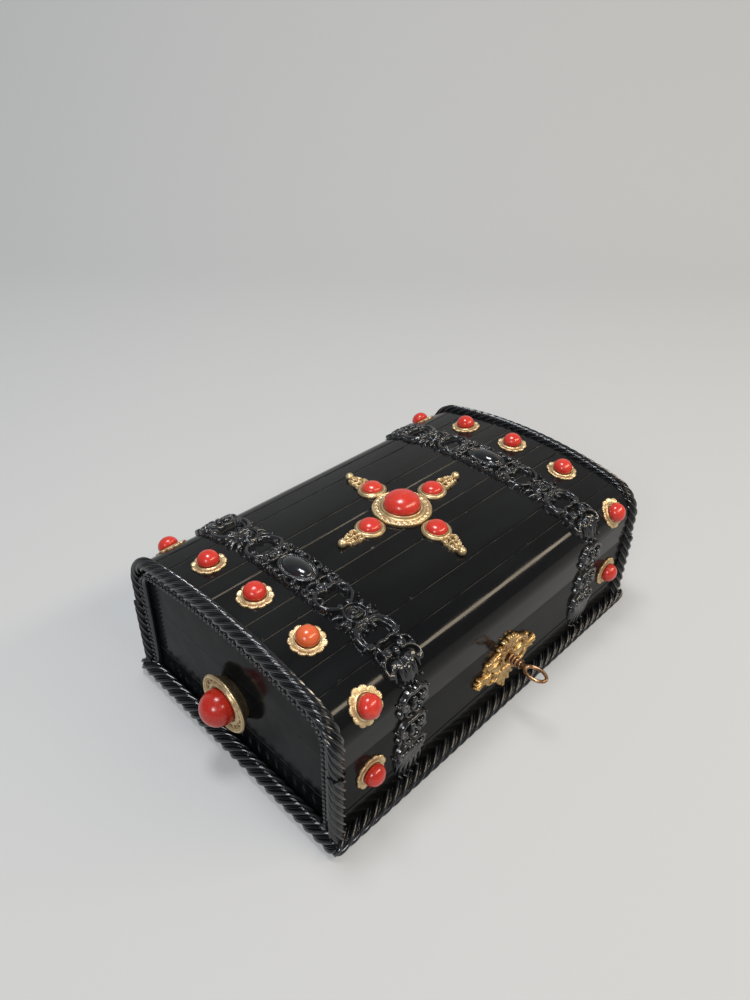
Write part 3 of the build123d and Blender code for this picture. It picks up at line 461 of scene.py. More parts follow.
def make_mesh(name: str, solid: Solid, material: bpy.types.Material) -> bpy.types.Object:
    """Closed smooth mesh from points in millimetres.

    Args:
        name: name of the piece.
        solid: its points, faces and marks.
        material: the piece's material.

    Returns:
        The new object, linked to the scene.
    """
    points, faces, marks = solid
    mesh = bpy.data.meshes.new(name)
    sizes = np.array([len(f) for f in faces], np.int32)
    corners = np.concatenate([np.asarray(f, np.int32) for f in faces])
    mesh.vertices.add(len(points))
    mesh.vertices.foreach_set("co", (np.asarray(points, float) * MM).astype(np.float32).ravel())
    mesh.loops.add(len(corners))
    mesh.loops.foreach_set("vertex_index", corners)
    mesh.polygons.add(len(sizes))
    mesh.polygons.foreach_set("loop_start", np.concatenate([[0], np.cumsum(sizes)[:-1]]).astype(np.int32))
    mesh.update(calc_edges=True)
    mesh.validate()
    for key, values in marks.items():
        mark = mesh.attributes.new(key, "FLOAT", "POINT")
        mark.data.foreach_set("value", np.asarray(values, np.float32))
    shell = bmesh.new()
    shell.from_mesh(mesh)
    bmesh.ops.recalc_face_normals(shell, faces=shell.faces[:])
    shell.to_mesh(mesh)
    shell.free()
    mesh.polygons.foreach_set("use_smooth", np.ones(len(mesh.polygons), bool))
    mesh.materials.append(material)
    return link_object(name, mesh)


def sharpen(piece: bpy.types.Object, degrees: float = 40.0) -> bpy.types.Object:
    """Keep the edges above an angle crisp."""
    piece.data.set_sharp_from_angle(angle=math.radians(degrees))
    return piece


def settle(
    piece: bpy.types.Object, body: Body, nodes: Sequence[str], note: str
) -> bpy.types.Object:
    """Hang a finished piece on its body in place of its CAD nodes.

    Args:
        piece: the finished piece.
        body: the body that carries it.
        nodes: CAD nodes that it stands for.
        note: what the report line says.

    Returns:
        The same piece.
    """
    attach(piece, body.value)
    if nodes:
        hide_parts(*nodes)
    log.info("%s: %s, %d faces", piece.name, note, len(piece.data.polygons))
    return piece


def join_parts(parts: Sequence[Solid]) -> Solid:
    """Several point, face and mark sets as one."""
    points, faces, marks, start = [], [], {}, 0
    for part_points, part_faces, part_marks in parts:
        points.append(part_points)
        faces.extend([[i + start for i in face] for face in part_faces])
        for key, values in part_marks.items():
            marks.setdefault(key, []).append(values)
        start += len(part_points)
    return np.concatenate(points), faces, {key: np.concatenate(v) for key, v in marks.items()}


def grid_faces(rows: int, columns: int, start: int = 0, wrap: bool = False) -> list:
    """Four-sided faces of a grid of points, numbered row by row."""
    last = columns if wrap else columns - 1
    faces = []
    for row in range(rows - 1):
        for column in range(last):
            a = start + row * columns + column
            b = start + row * columns + (column + 1) % columns
            faces.append((a, b, b + columns, a + columns))
    return faces


def turned(profile: Sequence[Point2], around: int = 64) -> tuple[np.ndarray, list]:
    """Points and faces of a section turned about its own axis.

    Args:
        profile: (radius, rise) points from the foot's middle to the top's middle.
        around: number of steps round the axis.

    Returns:
        Points as (across, along, rise) rows, and faces.
    """
    angles = np.linspace(0, 2 * math.pi, around, endpoint=False)
    rings = [(r, z) for r, z in profile if r > 1e-6]
    points = [(r * math.cos(a), r * math.sin(a), z) for r, z in rings for a in angles]
    faces = grid_faces(len(rings), around, 0, True)
    foot, top = len(points), len(points) + 1
    points += [(0, 0, profile[0][1]), (0, 0, profile[-1][1])]
    last = (len(rings) - 1) * around
    for i in range(around):
        j = (i + 1) % around
        faces.append((foot, j, i))
        faces.append((top, last + i, last + j))
    return np.array(points), faces


def rounded(profile: Sequence[Point2], steps: int = 4, share: float = 0.3) -> list[Point2]:
    """Section with its inner corners rounded by short curves."""
    soft = [profile[0]]
    for before, corner, after in zip(profile, profile[1:], profile[2:]):
        start = [c + (b - c) * share for b, c in zip(before, corner)]
        end = [c + (a - c) * share for a, c in zip(after, corner)]
        for t in np.linspace(0, 1, steps):
            soft.append(
                tuple(
                    (1 - t) ** 2 * s + 2 * t * (1 - t) * c + t**2 * e
                    for s, c, e in zip(start, corner, end)
                )
            )
    soft.append(profile[-1])
    return soft


@dataclass(frozen=True)
class Seat:
    """Place on the case with its own across, along and outward directions, in millimetres."""

    origin: np.ndarray
    across: np.ndarray
    along: np.ndarray
    out: np.ndarray

    def put(self, points: np.ndarray) -> np.ndarray:
        """Points moved from the seat's own directions to the case's."""
        return (
            self.origin
            + points[:, :1] * self.across
            + points[:, 1:2] * self.along
            + points[:, 2:3] * self.out
        )


@dataclass(frozen=True)
class CaseSurface:
    """Outside of the case unrolled: x along it, run from the crown's middle down the front."""

    half_length: float = 134.0
    half_depth: float = 87.0
    crown_height: float = 104.0
    shoulder_drop: float = 28.2
    shoulder_radius: float = 21.0
    seam_height: float = 60.0
    seam_gap: float = 0.3

    @property
    def reach(self) -> float:
        """Distance of the shoulder arcs' middles from the crown's middle."""
        return self.half_depth - self.shoulder_radius

    @property
    def crown_radius(self) -> float:
        """Radius of the crown's arc."""
        square = self.reach**2 + self.shoulder_drop**2 - self.shoulder_radius**2
        return square / (2 * (self.shoulder_drop - self.shoulder_radius))

    @property
    def start_angle(self) -> float:
        """Angle at which the crown meets the shoulder."""
        return math.asin(self.reach / (self.crown_radius - self.shoulder_radius))

    @property
    def crown_run(self) -> float:
        """Run from the crown's middle to the shoulder."""
        return self.crown_radius * self.start_angle

    @property
    def wall_run(self) -> float:
        """Run from the crown's middle to the top of the upright wall."""
        return self.crown_run + self.shoulder_radius * (math.pi / 2 - self.start_angle)

    def run_at(self, height: float) -> float:
        """Run at a height on the upright wall."""
        return self.wall_run + self.crown_height - self.shoulder_drop - height

    def point(self, x: np.ndarray, run: np.ndarray, rise: np.ndarray) -> np.ndarray:
        """Point above the case's outside.

        Args:
            x: place along the case.
            run: distance from the crown's middle over the outside, to the front positive.
            rise: height above the outside.

        Returns:
            Rows of x, y and z in millimetres.
        """
        x, run, rise = np.broadcast_arrays(*[np.asarray(v, float) for v in (x, run, rise)])
        far = np.abs(run)
        crown = far <= self.crown_run
        turn = np.where(
            crown,
            far / self.crown_radius,
            np.minimum(self.start_angle + (far - self.crown_run) / self.shoulder_radius, math.pi / 2),
        )
        radius = np.where(crown, self.crown_radius, self.shoulder_radius) + rise
        y = np.where(crown, 0.0, self.reach) + radius * np.sin(turn)
        low = self.crown_height - self.shoulder_drop
        z = np.where(crown, self.crown_height - self.crown_radius, low) + radius * np.cos(turn)
        z = z - np.maximum(far - self.wall_run, 0)
        return np.stack([x, -np.sign(run) * y, z], axis=-1)

    def seat(self, x: float, run: float) -> Seat:
        """Seat on the outside, its along direction down the run."""
        origin = self.point(x, run, 0.0)
        out = self.point(x, run, 1.0) - origin
        across = np.array([1.0, 0.0, 0.0])
        return Seat(origin, across, np.cross(across, out), out)


CASE = CaseSurface()


def end_seat(side: int, height: float) -> Seat:
    """Seat on the left (-1) or right (1) end, its along direction upright."""
    return Seat(
        np.array([side * CASE.half_length, 0.0, height]),
        np.array([0.0, side * 1.0, 0.0]),
        np.array([0.0, 0.0, 1.0]),
        np.array([side * 1.0, 0.0, 0.0]),
    )


def soften(heights: np.ndarray, rounds: int, wrap: bool = False) -> np.ndarray:
    """Heights averaged with their neighbours a number of times."""
    for _ in range(rounds):
        side = "wrap" if wrap else "edge"
        wide = np.pad(np.pad(heights, ((0, 0), (1, 1)), mode=side), ((1, 1), (0, 0)), mode="edge")
        rows = (wide[:-2] + 2 * wide[1:-1] + wide[2:]) / 4
        heights = (rows[:, :-2] + 2 * rows[:, 1:-1] + rows[:, 2:]) / 4
    return heights


def smooth_path(points: Sequence[Point2], steps: int = 8) -> np.ndarray:
    """Smooth line through some points."""
    knots = np.array([points[0], *points, points[-1]], float)
    line = []
    for a, b, c, d in zip(knots, knots[1:], knots[2:], knots[3:]):
        for t in np.linspace(0, 1, steps, endpoint=False):
            square, cube = 2 * a - 5 * b + 4 * c - d, 3 * b - a - 3 * c + d
            line.append(0.5 * (2 * b + (c - a) * t + square * t**2 + cube * t**3))
    line.append(knots[-2])
    return np.array(line)


def curl(line: np.ndarray, radius: float, turns: float, hand: int) -> np.ndarray:
    """Line with a spiral added at its end.

    Args:
        line: points of the line.
        radius: the spiral's first radius.
        turns: how many times it winds.
        hand: 1 to wind to the left of the line's way, -1 to the right.

    Returns:
        The line with the spiral's points.
    """
    way = line[-1] - line[-2]
    way = way / np.hypot(*way)
    middle = line[-1] + radius * hand * np.array([-way[1], way[0]])
    start = math.atan2(*(line[-1] - middle)[::-1])
    steps = max(int(14 * turns), 4)
    spiral = []
    for i in range(1, steps + 1):
        share = i / steps
        angle = start + hand * 2 * math.pi * turns * share
        reach = radius * (1 - 0.78 * share)
        spiral.append(middle + reach * np.array([math.cos(angle), math.sin(angle)]))
    return np.concatenate([line, spiral])


class Carving:
    """Height map of carving over a patch, kept at its highest."""

    def __init__(
        self, across: np.ndarray, along: np.ndarray, sunk: float = 1.0, swell: float = 1.0
    ) -> None:
        """Start with a ground sunk below the surface.

        Args:
            across: first place of each point.
            along: second place of each point.
            sunk: depth of the ground.
            swell: how much wider its strands are cut than drawn.
        """
        self.across = across
        self.along = along
        self.sunk = sunk
        self.swell = swell
        self.heights = np.full(across.shape, -sunk)

    def lift(self, heights: np.ndarray, where: np.ndarray) -> None:
        """Raise the map to some heights inside a mask."""
        self.heights = np.where(where, np.maximum(self.heights, heights), self.heights)

    def dome(
        self,
        middle: Point2,
        half: Point2,
        foot: float,
        rise: float,
        turn: float = 0.0,
        power: float = 0.5,
    ) -> None:
        """Oval dome.

        Args:
            middle: its middle.
            half: its half sizes.
            foot: height at its edge.
            rise: height at its top.
            turn: degrees that it is turned.
            power: roundness, 0.5 for an ellipse.
        """
        a = math.radians(turn)
        dx, dy = self.across - middle[0], self.along - middle[1]
        u = (dx * math.cos(a) + dy * math.sin(a)) / half[0]
        v = (-dx * math.sin(a) + dy * math.cos(a)) / half[1]
        q = u**2 + v**2
        self.lift(foot + (rise - foot) * np.maximum(1 - q, 0) ** power, q < 1)

    def ring(self, middle: Point2, half: Point2, width: float, foot: float, rise: float) -> None:
        """Rounded oval ring, half sizes to its middle line."""
        dx, dy = self.across - middle[0], self.along - middle[1]
        q = np.sqrt((dx / half[0]) ** 2 + (dy / half[1]) ** 2) + 1e-9
        away = np.abs(q - 1) * np.hypot(dx, dy) / q
        share = np.maximum(1 - (2 * away / width) ** 2, 0)
        self.lift(foot + (rise - foot) * np.sqrt(share), share > 0)

    def stroke(
        self,
        line: np.ndarray,
        width: Point2,
        rise: Point2,
        groove: float = 0.0,
        skirt: float = 0.0,
    ) -> None:
        """Rounded strand along a line.

        Args:
            line: its points.
            width: half width at its start and end.
            rise: height at its start and end.
            groove: depth of the crease down its middle, as a share.
            skirt: extra half width of a low foot that joins it to its neighbours.
        """
        line = np.asarray(line, float)
        lengths = np.hypot(*np.diff(line, axis=0).T)
        total, done = lengths.sum(), 0.0
        width = (width[0] * self.swell, width[1] * self.swell)
        widest = max(width) + skirt
        for a, b, length in zip(line, line[1:], lengths):
            if length < 1e-9:
                continue
            near = (
                (self.across > min(a[0], b[0]) - widest)
                & (self.across < max(a[0], b[0]) + widest)
                & (self.along > min(a[1], b[1]) - widest)
                & (self.along < max(a[1], b[1]) + widest)
            )
            if near.any():
                px, py = self.across[near], self.along[near]
                way = (b - a) / length
                t = np.clip((px - a[0]) * way[0] + (py - a[1]) * way[1], 0, length)
                away = np.hypot(px - a[0] - way[0] * t, py - a[1] - way[1] * t)
                share = (done + t) / total
                half = width[0] + (width[1] - width[0]) * share
                top = rise[0] + (rise[1] - rise[0]) * share
                q = away / half
                body = top * (0.35 + 0.65 * np.sqrt(np.maximum(1 - q**2, 0)))
                body = body - groove * top * np.exp(-((q / 0.28) ** 2))
                found = np.where(q < 1, body, -self.sunk)
                if skirt:
                    low = 0.22 * top
                    found = np.maximum(found, np.where(away < half + skirt, low, -self.sunk))
                self.heights[near] = np.maximum(self.heights[near], found)
            done += length

    def scroll(
        self,
        points: Sequence[Point2],
        radius: float,
        turns: float,
        hand: int,
        width: Point2,
        rise: Point2,
        groove: float = 0.0,
    ) -> None:
        """Strand that ends in a curl with a bead in its eye."""
        line = curl(smooth_path(points), radius, turns, hand)
        self.stroke(line, width, rise, groove, 0.35)
        eye = line[-1]
        self.dome((eye[0], eye[1]), (radius * 0.3, radius * 0.3), rise[1] * 0.6, rise[1] * 1.12)

    def leaf(self, points: Sequence[Point2], width: float, rise: float) -> None:
        """Pointed leaf with a vein, along a smooth line."""
        line = smooth_path(points)
        middle = max(len(line) * 2 // 5, 1)
        self.stroke(line[: middle + 1], (width * 0.35, width), (rise * 0.7, rise), 0.3, 0.3)
        self.stroke(line[middle:], (width, width * 0.15), (rise, rise * 0.45), 0.3, 0.3)

    def floret(self, middle: Point2, radius: float, rise: float, petals: int = 5) -> None:
        """Small flower: a bead with petals round it."""
        for i in range(petals):
            a = 2 * math.pi * (i + 0.25) / petals
            spot = (middle[0] + 0.62 * radius * math.cos(a), middle[1] + 0.62 * radius * math.sin(a))
            self.dome(spot, (radius * 0.42, radius * 0.42), 0.3 * rise, 0.8 * rise)
        self.dome(middle, (radius * 0.36, radius * 0.36), 0.5 * rise, rise)

    def berries(self, spots: Sequence[Point3], rise: float) -> None:
        """Small round berries, each with its place and radius."""
        for x, y, radius in spots:
            self.dome((x, y), (radius, radius), 0.8, rise)

    def mirrored(self, both_ways: bool = False) -> "Carving":
        """Whole carving from one half of it, or from one quarter."""
        across = np.concatenate([-self.across[:, :0:-1], self.across], axis=1)
        along = np.concatenate([self.along[:, :0:-1], self.along], axis=1)
        heights = np.concatenate([self.heights[:, :0:-1], self.heights], axis=1)
        if both_ways:
            across = np.concatenate([across[:0:-1], across])
            along = np.concatenate([-along[:0:-1], along])
            heights = np.concatenate([heights[:0:-1], heights])
        whole = Carving(across, along, self.sunk)
        whole.heights = heights
        return whole

    def hollows(self, reach: int) -> np.ndarray:
        """How far each point lies below its neighbourhood, from 0 to 1."""
        ground = np.maximum(self.heights, 0)
        return np.clip((soften(ground, reach) - ground) / 0.7 + 0.12, 0, 1)


def relief_solid(carving: Carving, place: Place, depth: float) -> Solid:
    """Closed solid under a height map.

    Args:
        carving: the height map, rows along the patch.
        place: turns across, along and height into points of the case.
        depth: how far the flat underside lies below the surface.

    Returns:
        Points, faces and marks.
    """
    rows, columns = carving.heights.shape
    top = place(carving.across, carving.along, carving.heights).reshape(-1, 3)
    edges = [0, columns - 1]
    foot = place(
        carving.across[:, edges], carving.along[:, edges], np.full((rows, 2), -depth)
    ).reshape(-1, 3)
    faces = grid_faces(rows, columns)
    start = rows * columns
    for row in range(rows - 1):
        left, right = row * columns, row * columns + columns - 1
        low_left, low_right = start + 2 * row, start + 2 * row + 1
        faces.append((left, left + columns, low_left + 2, low_left))
        faces.append((right, low_right, low_right + 2, right + columns))
        faces.append((low_left, low_left + 2, low_right + 2, low_right))
    faces.append([*range(columns), start + 1, start])
    last = (rows - 1) * columns
    faces.append([*range(last, last + columns), start + 2 * rows - 1, start + 2 * rows - 2])
    # The hollow mark: gilt materials paint shade into the hollows from it; the carved black turns duller
    # there.
    marks = {"hollow": np.concatenate([carving.hollows(6).ravel(), np.zeros(2 * rows)])}
    return np.concatenate([top, foot]), faces, marks


def disc_solid(heights: np.ndarray, radii: np.ndarray, place: Place, depth: float) -> Solid:
    """Closed round plate from heights on rings.

    Args:
        heights: one row for each ring, one column for each step round it.
        radii: radius of each point, the same shape.
        place: turns across, along and height into points of the case.
        depth: how far the underside lies below the surface.

    Returns:
        Points, faces and marks.
    """
    rings, around = heights.shape
    angles = np.linspace(0, 2 * math.pi, around, endpoint=False)[None, :]
    u, v = radii * np.cos(angles), radii * np.sin(angles)
    top = place(u, v, heights).reshape(-1, 3)
    foot = place(u[-1:], v[-1:], np.full((1, around), -depth)).reshape(-1, 3)
    middle = np.array([[0.0]])
    ends = [place(middle, middle, np.array([[h]])).reshape(-1, 3) for h in (heights[0].mean(), -depth)]
    faces = grid_faces(rings + 1, around, 0, True)
    top_middle = (rings + 1) * around
    for i in range(around):
        j = (i + 1) % around
        faces.append((top_middle, i, j))
        faces.append((top_middle + 1, rings * around + j, rings * around + i))
    # The hollow mark: the gilt material paints shade into the hollows of the plate from it.
    ground = soften(heights, 5, True)
    hollow = np.clip((ground - heights) / 0.4 + 0.1, 0, 1).ravel()
    marks = {"hollow": np.concatenate([hollow, np.zeros(around + 2)])}
    return np.concatenate([top, foot, *ends]), faces, marks


# Geometry Nodes


class Tree:
    """Geometry Nodes tree with named inputs."""

    def __init__(self, name: str) -> None:
        """Start an empty tree.

        Args:
            name: name of the tree.
        """
        self.tree = bpy.data.node_groups.new(name, "GeometryNodeTree")
        self.tree.is_modifier = True
        self.tree.interface.new_socket("Geometry", in_out="INPUT", socket_type="NodeSocketGeometry")
        self.tree.interface.new_socket("Geometry", in_out="OUTPUT", socket_type="NodeSocketGeometry")
        self.entry = self.tree.nodes.new("NodeGroupInput")
        self.exit = self.tree.nodes.new("NodeGroupOutput")
        self.keys: dict[str, str] = {}

    def size(self, name: str, kind: str = "Float") -> bpy.types.NodeSocket:
        """Named input of the tree."""
        item = self.tree.interface.new_socket(name, in_out="INPUT", socket_type=f"NodeSocket{kind}")
        self.keys[name] = item.identifier
        return self.entry.outputs[name]

    def add(self, kind: str, inputs: dict[object, object], **settings: object) -> bpy.types.Node:
        """New node.

        Args:
            kind: the node's type, without its prefix when it is a geometry node.
            inputs: values or sockets by the input's name or number.
            settings: properties of the node.

        Returns:
            The node.
        """
        full = kind if kind.startswith(("ShaderNode", "FunctionNode")) else f"GeometryNode{kind}"
        node = self.tree.nodes.new(full)
        for key, value in settings.items():
            setattr(node, key, value)
        for key, value in inputs.items():
            if isinstance(value, bpy.types.NodeSocket):
                self.tree.links.new(value, node.inputs[key])
            else:
                node.inputs[key].default_value = value
        return node

    def math(self, kind: str, first: object, second: object = 0.0) -> bpy.types.NodeSocket:
        """Result of a Math node."""
        return self.add("ShaderNodeMath", {0: first, 1: second}, operation=kind).outputs[0]

    def vector(self, x: object, y: object, z: object) -> bpy.types.NodeSocket:
        """Vector from three values."""
        return self.add("ShaderNodeCombineXYZ", {0: x, 1: y, 2: z}).outputs[0]

    def end(self, geometry: bpy.types.NodeSocket) -> None:
        """Realize the instances, set the material and close the tree."""
        material = self.size("Finish", "Material")
        real = self.add("RealizeInstances", {"Geometry": geometry})
        shaded = self.add("SetShadeSmooth", {"Geometry": real.outputs["Geometry"], "Shade Smooth": True})
        dressed = self.add("SetMaterial", {"Geometry": shaded.outputs[0], "Material": material})
        self.tree.links.new(dressed.outputs[0], self.exit.inputs[0])

    def bake(self, base: bpy.types.Object, name: str, **values: object) -> bpy.types.Object:
        """Run the tree on an object and keep the result as a plain mesh.

        Args:
            base: the object that the tree starts from; it is removed.
            name: name of the finished piece.
            values: the tree's inputs, spaces as underscores.

        Returns:
            The finished piece.
        """
        modifier = base.modifiers.new("tree", "NODES")
        modifier.node_group = self.tree
        for key, value in values.items():
            modifier[self.keys[key.replace("_", " ")]] = value
        graph = bpy.context.evaluated_depsgraph_get()
        mesh = bpy.data.meshes.new_from_object(base.evaluated_get(graph))
        base.modifiers.remove(modifier)
        bpy.data.objects.remove(base, do_unlink=True)
        mesh.name = name
        return link_object(name, mesh)


def guide(
    name: str, lines: Sequence[np.ndarray], marks: Optional[dict[str, Sequence]] = None
) -> bpy.types.Object:
    """Object of open lines or loose points that a tree follows.

    Args:
        name: name of the object.
        lines: points of each line in millimetres; a line of one point is a loose point.
        marks: values or vectors that each point carries, by name.

    Returns:
        The guide object.
    """
    points, edges = [], []
    for line in lines:
        start = len(points)
        points.extend([tuple(float(c) * MM for c in p) for p in line])
        edges.extend([(start + i, start + i + 1) for i in range(len(line) - 1)])
    mesh = bpy.data.meshes.new(name)
    mesh.from_pydata(points, edges, [])
    for key, values in (marks or {}).items():
        flat = np.asarray(values, np.float32)
        vector = flat.ndim == 2
        mark = mesh.attributes.new(key, "FLOAT_VECTOR" if vector else "FLOAT", "POINT")
        mark.data.foreach_set("vector" if vector else "value", flat.ravel())
    return link_object(name, mesh)


class RopeTree(Tree):
    """Twisted rope moulding that follows a line: fat strands with a thin one beside each."""

    def __init__(self) -> None:
        """Build the tree."""
        super().__init__("rope_moulding")
        radius = self.size("Radius")
        lead = self.size("Lead")
        strands = self.size("Strands")
        depth = self.size("Depth")
        step = self.size("Step")
        path = self.add("MeshToCurve", {"Mesh": self.entry.outputs["Geometry"]})
        path = self.add(
            "ResampleCurve", {"Curve": path.outputs[0], "Length": step}, mode="LENGTH"
        )
        along = self.add("SplineParameter", {}).outputs["Length"]
        tilt = self.math("MULTIPLY", self.math("DIVIDE", along, lead), 2 * math.pi)
        path = self.add("SetCurveTilt", {"Curve": path.outputs[0], "Tilt": tilt})
        section = self.add("CurvePrimitiveCircle", {"Resolution": 150, "Radius": 1.0}, mode="RADIUS")
        share = self.add("SplineParameter", {}).outputs["Factor"]
        phase = self.math("FRACT", self.math("MULTIPLY", share, strands))
        lobe = self.math("MAXIMUM", self.hump(phase, 0.31, 0.31, 1.0), self.hump(phase, 0.73, 0.11, 0.62))
        lobe = self.math("MAXIMUM", lobe, self.hump(phase, 0.92, 0.08, 0.5))
        inward = self.math("MULTIPLY", self.math("SUBTRACT", 1.0, lobe), depth)
        reach = self.math("MULTIPLY", self.math("SUBTRACT", 1.0, inward), radius)
        spot = self.add("InputPosition", {}).outputs[0]
        scaled = self.add("ShaderNodeVectorMath", {0: spot, "Scale": reach}, operation="SCALE")
        section = self.add("SetPosition", {"Geometry": section.outputs[0], "Position": scaled.outputs[0]})
        solid = self.add(
            "CurveToMesh",
            {"Curve": path.outputs[0], "Profile Curve": section.outputs[0], "Fill Caps": True},
        )
        self.end(solid.outputs[0])

    def hump(self, phase: object, middle: float, half: float, rise: float) -> bpy.types.NodeSocket:
        """Rounded hump of one strand over the phase."""
        away = self.math("DIVIDE", self.math("SUBTRACT", phase, middle), half)
        square = self.math("MULTIPLY", away, away)
        left = self.math("MAXIMUM", self.math("SUBTRACT", 1.0, square), 0.0)
        return self.math("MULTIPLY", self.math("SQRT", left), rise)


class BeadTree(Tree):
    """Row of small beads along a line."""

    def __init__(self) -> None:
        """Build the tree."""
        super().__init__("bead_row")
        radius = self.size("Radius")
        pitch = self.size("Pitch")
        path = self.add("MeshToCurve", {"Mesh": self.entry.outputs["Geometry"]})
        spots = self.add("CurveToPoints", {"Curve": path.outputs[0], "Length": pitch}, mode="LENGTH")
        bead = self.add("MeshUVSphere", {"Segments": 8, "Rings": 6, "Radius": radius})
        row = self.add(
            "InstanceOnPoints", {"Points": spots.outputs["Points"], "Instance": bead.outputs["Mesh"]}
        )
        self.end(row.outputs[0])


class CoralTree(Tree):
    """Domed coral beads on loose points, each with its own size, facing and tone."""

    def __init__(self) -> None:
        """Build the tree."""
        super().__init__("coral_beads")
        rise = self.size("Rise")
        edge = self.size("Edge")
        waver = self.size("Waver")
        seed = self.size("Seed")
        ball = self.add("MeshUVSphere", {"Segments": 56, "Rings": 36, "Radius": 1.0})
        spot = self.add("InputPosition", {}).outputs[0]
        parts = self.add("ShaderNodeSeparateXYZ", {0: spot}).outputs
        dome = self.math("MULTIPLY", self.math("MAXIMUM", parts[2], 0.0), self.math("SUBTRACT", rise, edge))
        foot = self.math("MULTIPLY", self.math("MINIMUM", parts[2], 0.0), edge)
        tall = self.math("ADD", self.math("ADD", dome, foot), edge)
        tall = self.math("MAXIMUM", tall, 0.1)
        domed = self.vector(parts[0], parts[1], tall)
        shaped = self.add("SetPosition", {"Geometry": ball.outputs["Mesh"], "Position": domed})
        facing = self.add("InputNamedAttribute", {"Name": "facing"}, data_type="FLOAT_VECTOR").outputs[0]
        size = self.add("InputNamedAttribute", {"Name": "size"}, data_type="FLOAT").outputs[0]
        turn = self.add("FunctionNodeAlignRotationToVector", {"Vector": facing}, axis="Z").outputs[0]
        beads = self.add(
            "InstanceOnPoints",
            {
                "Points": self.entry.outputs["Geometry"],
                "Instance": shaped.outputs[0],
                "Rotation": turn,
                "Scale": self.vector(size, size, size),
            },
        )
        real = self.add("RealizeInstances", {"Geometry": beads.outputs[0]}).outputs[0]
        wave = self.add(
            "ShaderNodeTexNoise", {"Scale": 130.0, "Detail": 2.0, "W": seed}, noise_dimensions="4D"
        )
        lift = self.math("MULTIPLY", self.math("SUBTRACT", wave.outputs["Fac"], 0.5), waver)
        normal = self.add("InputNormal", {}).outputs[0]
        shift = self.add("ShaderNodeVectorMath", {0: normal, "Scale": lift}, operation="SCALE").outputs[0]
        self.end(self.add("SetPosition", {"Geometry": real, "Offset": shift}).outputs[0])


@dataclass
class Trees:
    """The Geometry Nodes trees, made once."""

    rope: RopeTree = field(default_factory=RopeTree)
    beads: BeadTree = field(default_factory=BeadTree)
    coral: CoralTree = field(default_factory=CoralTree)


def merge(pieces: Sequence[bpy.types.Object], name: str) -> bpy.types.Object:
    """Join finished meshes into one piece."""
    shell = bmesh.new()
    for piece in pieces:
        shell.from_mesh(piece.data)
    materials = list(pieces[0].data.materials)
    mesh = bpy.data.meshes.new(name)
    shell.to_mesh(mesh)
    shell.free()
    for material in materials:
        mesh.materials.append(material)
    for piece in pieces:
        bpy.data.objects.remove(piece, do_unlink=True)
    return link_object(name, mesh)


# Sub-assemblies


@dataclass
class Woodwork:
    """Lacquered boards, ends and slats, kept as the CAD made them."""

    finishes: Finishes

    def dress(self) -> None:
        """Give each CAD board and slat its lacquer, and the metal fittings their metals."""
        dressings = (
            (("lid_slat",), self.finishes.slats),
            (("lid_end", "base_front", "base_back", "base_end", "bottom_board"), self.finishes.boards),
            (("hinge_", "lock_", "link_plate"), self.finishes.brass),
            (("base_hinge_screws", "lid_screws", "lock_screws"), self.finishes.steel),
            (("escutcheon_pins",), self.finishes.rich_gilt),
        )
        for starts, material in dressings:
            for name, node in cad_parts.items():
                if name.startswith(starts):
                    for place in node.material_slots:
                        place.material = material
            log.info("%s: %s", ", ".join(starts), material.name)


@dataclass(frozen=True)
class RopeSize:
    """Thickness, place and lay of one kind of rope moulding, in millimetres."""

    radius: float
    end_proud: float
    side_proud: float
    lead: float
    strands: float

    @property
    def end_x(self) -> float:
        """Middle line of the ropes on the ends."""
        return CASE.half_length + self.end_proud - self.radius

    @property
    def grow(self) -> float:
        """Middle line of the ropes on the front and back, out from the wall."""
        return self.side_proud - self.radius

    @property
    def side_y(self) -> float:
        """Middle line of the ropes on the front and back."""
        return CASE.half_depth + self.grow


def mitre(piece: bpy.types.Object, spot: Point3, way: Point3, out: Point3) -> None:
    """Cut a rope off at a corner, close it and round its elbow.

    Args:
        piece: the rope to cut.
        spot: the corner of the middle lines, in millimetres.
        way: direction of the rope at its end.
        out: direction out from the case, square to it.
    """
    away = Vector(way) - Vector(out)
    shell = bmesh.new()
    shell.from_mesh(piece.data)
    cut = bmesh.ops.bisect_plane(
        shell,
        geom=[*shell.verts, *shell.edges, *shell.faces],
        plane_co=Vector(spot) * MM,
        plane_no=away,
        clear_outer=True,
    )
    edges = [e for e in cut["geom_cut"] if isinstance(e, bmesh.types.BMEdge)]
    bmesh.ops.edgeloop_fill(shell, edges=edges)
    bmesh.ops.recalc_face_normals(shell, faces=shell.faces[:])
    for vert in shell.verts:
        reach = vert.co - Vector(spot) * MM
        past, proud = reach.dot(Vector(way)), reach.dot(Vector(out))
        if past > 0 and proud > 0:
            share = proud / math.hypot(past, proud) - 1
            vert.co += Vector(way) * past * share + Vector(out) * proud * share
    shell.to_mesh(piece.data)
    shell.free()
    sharpen(piece, 60)


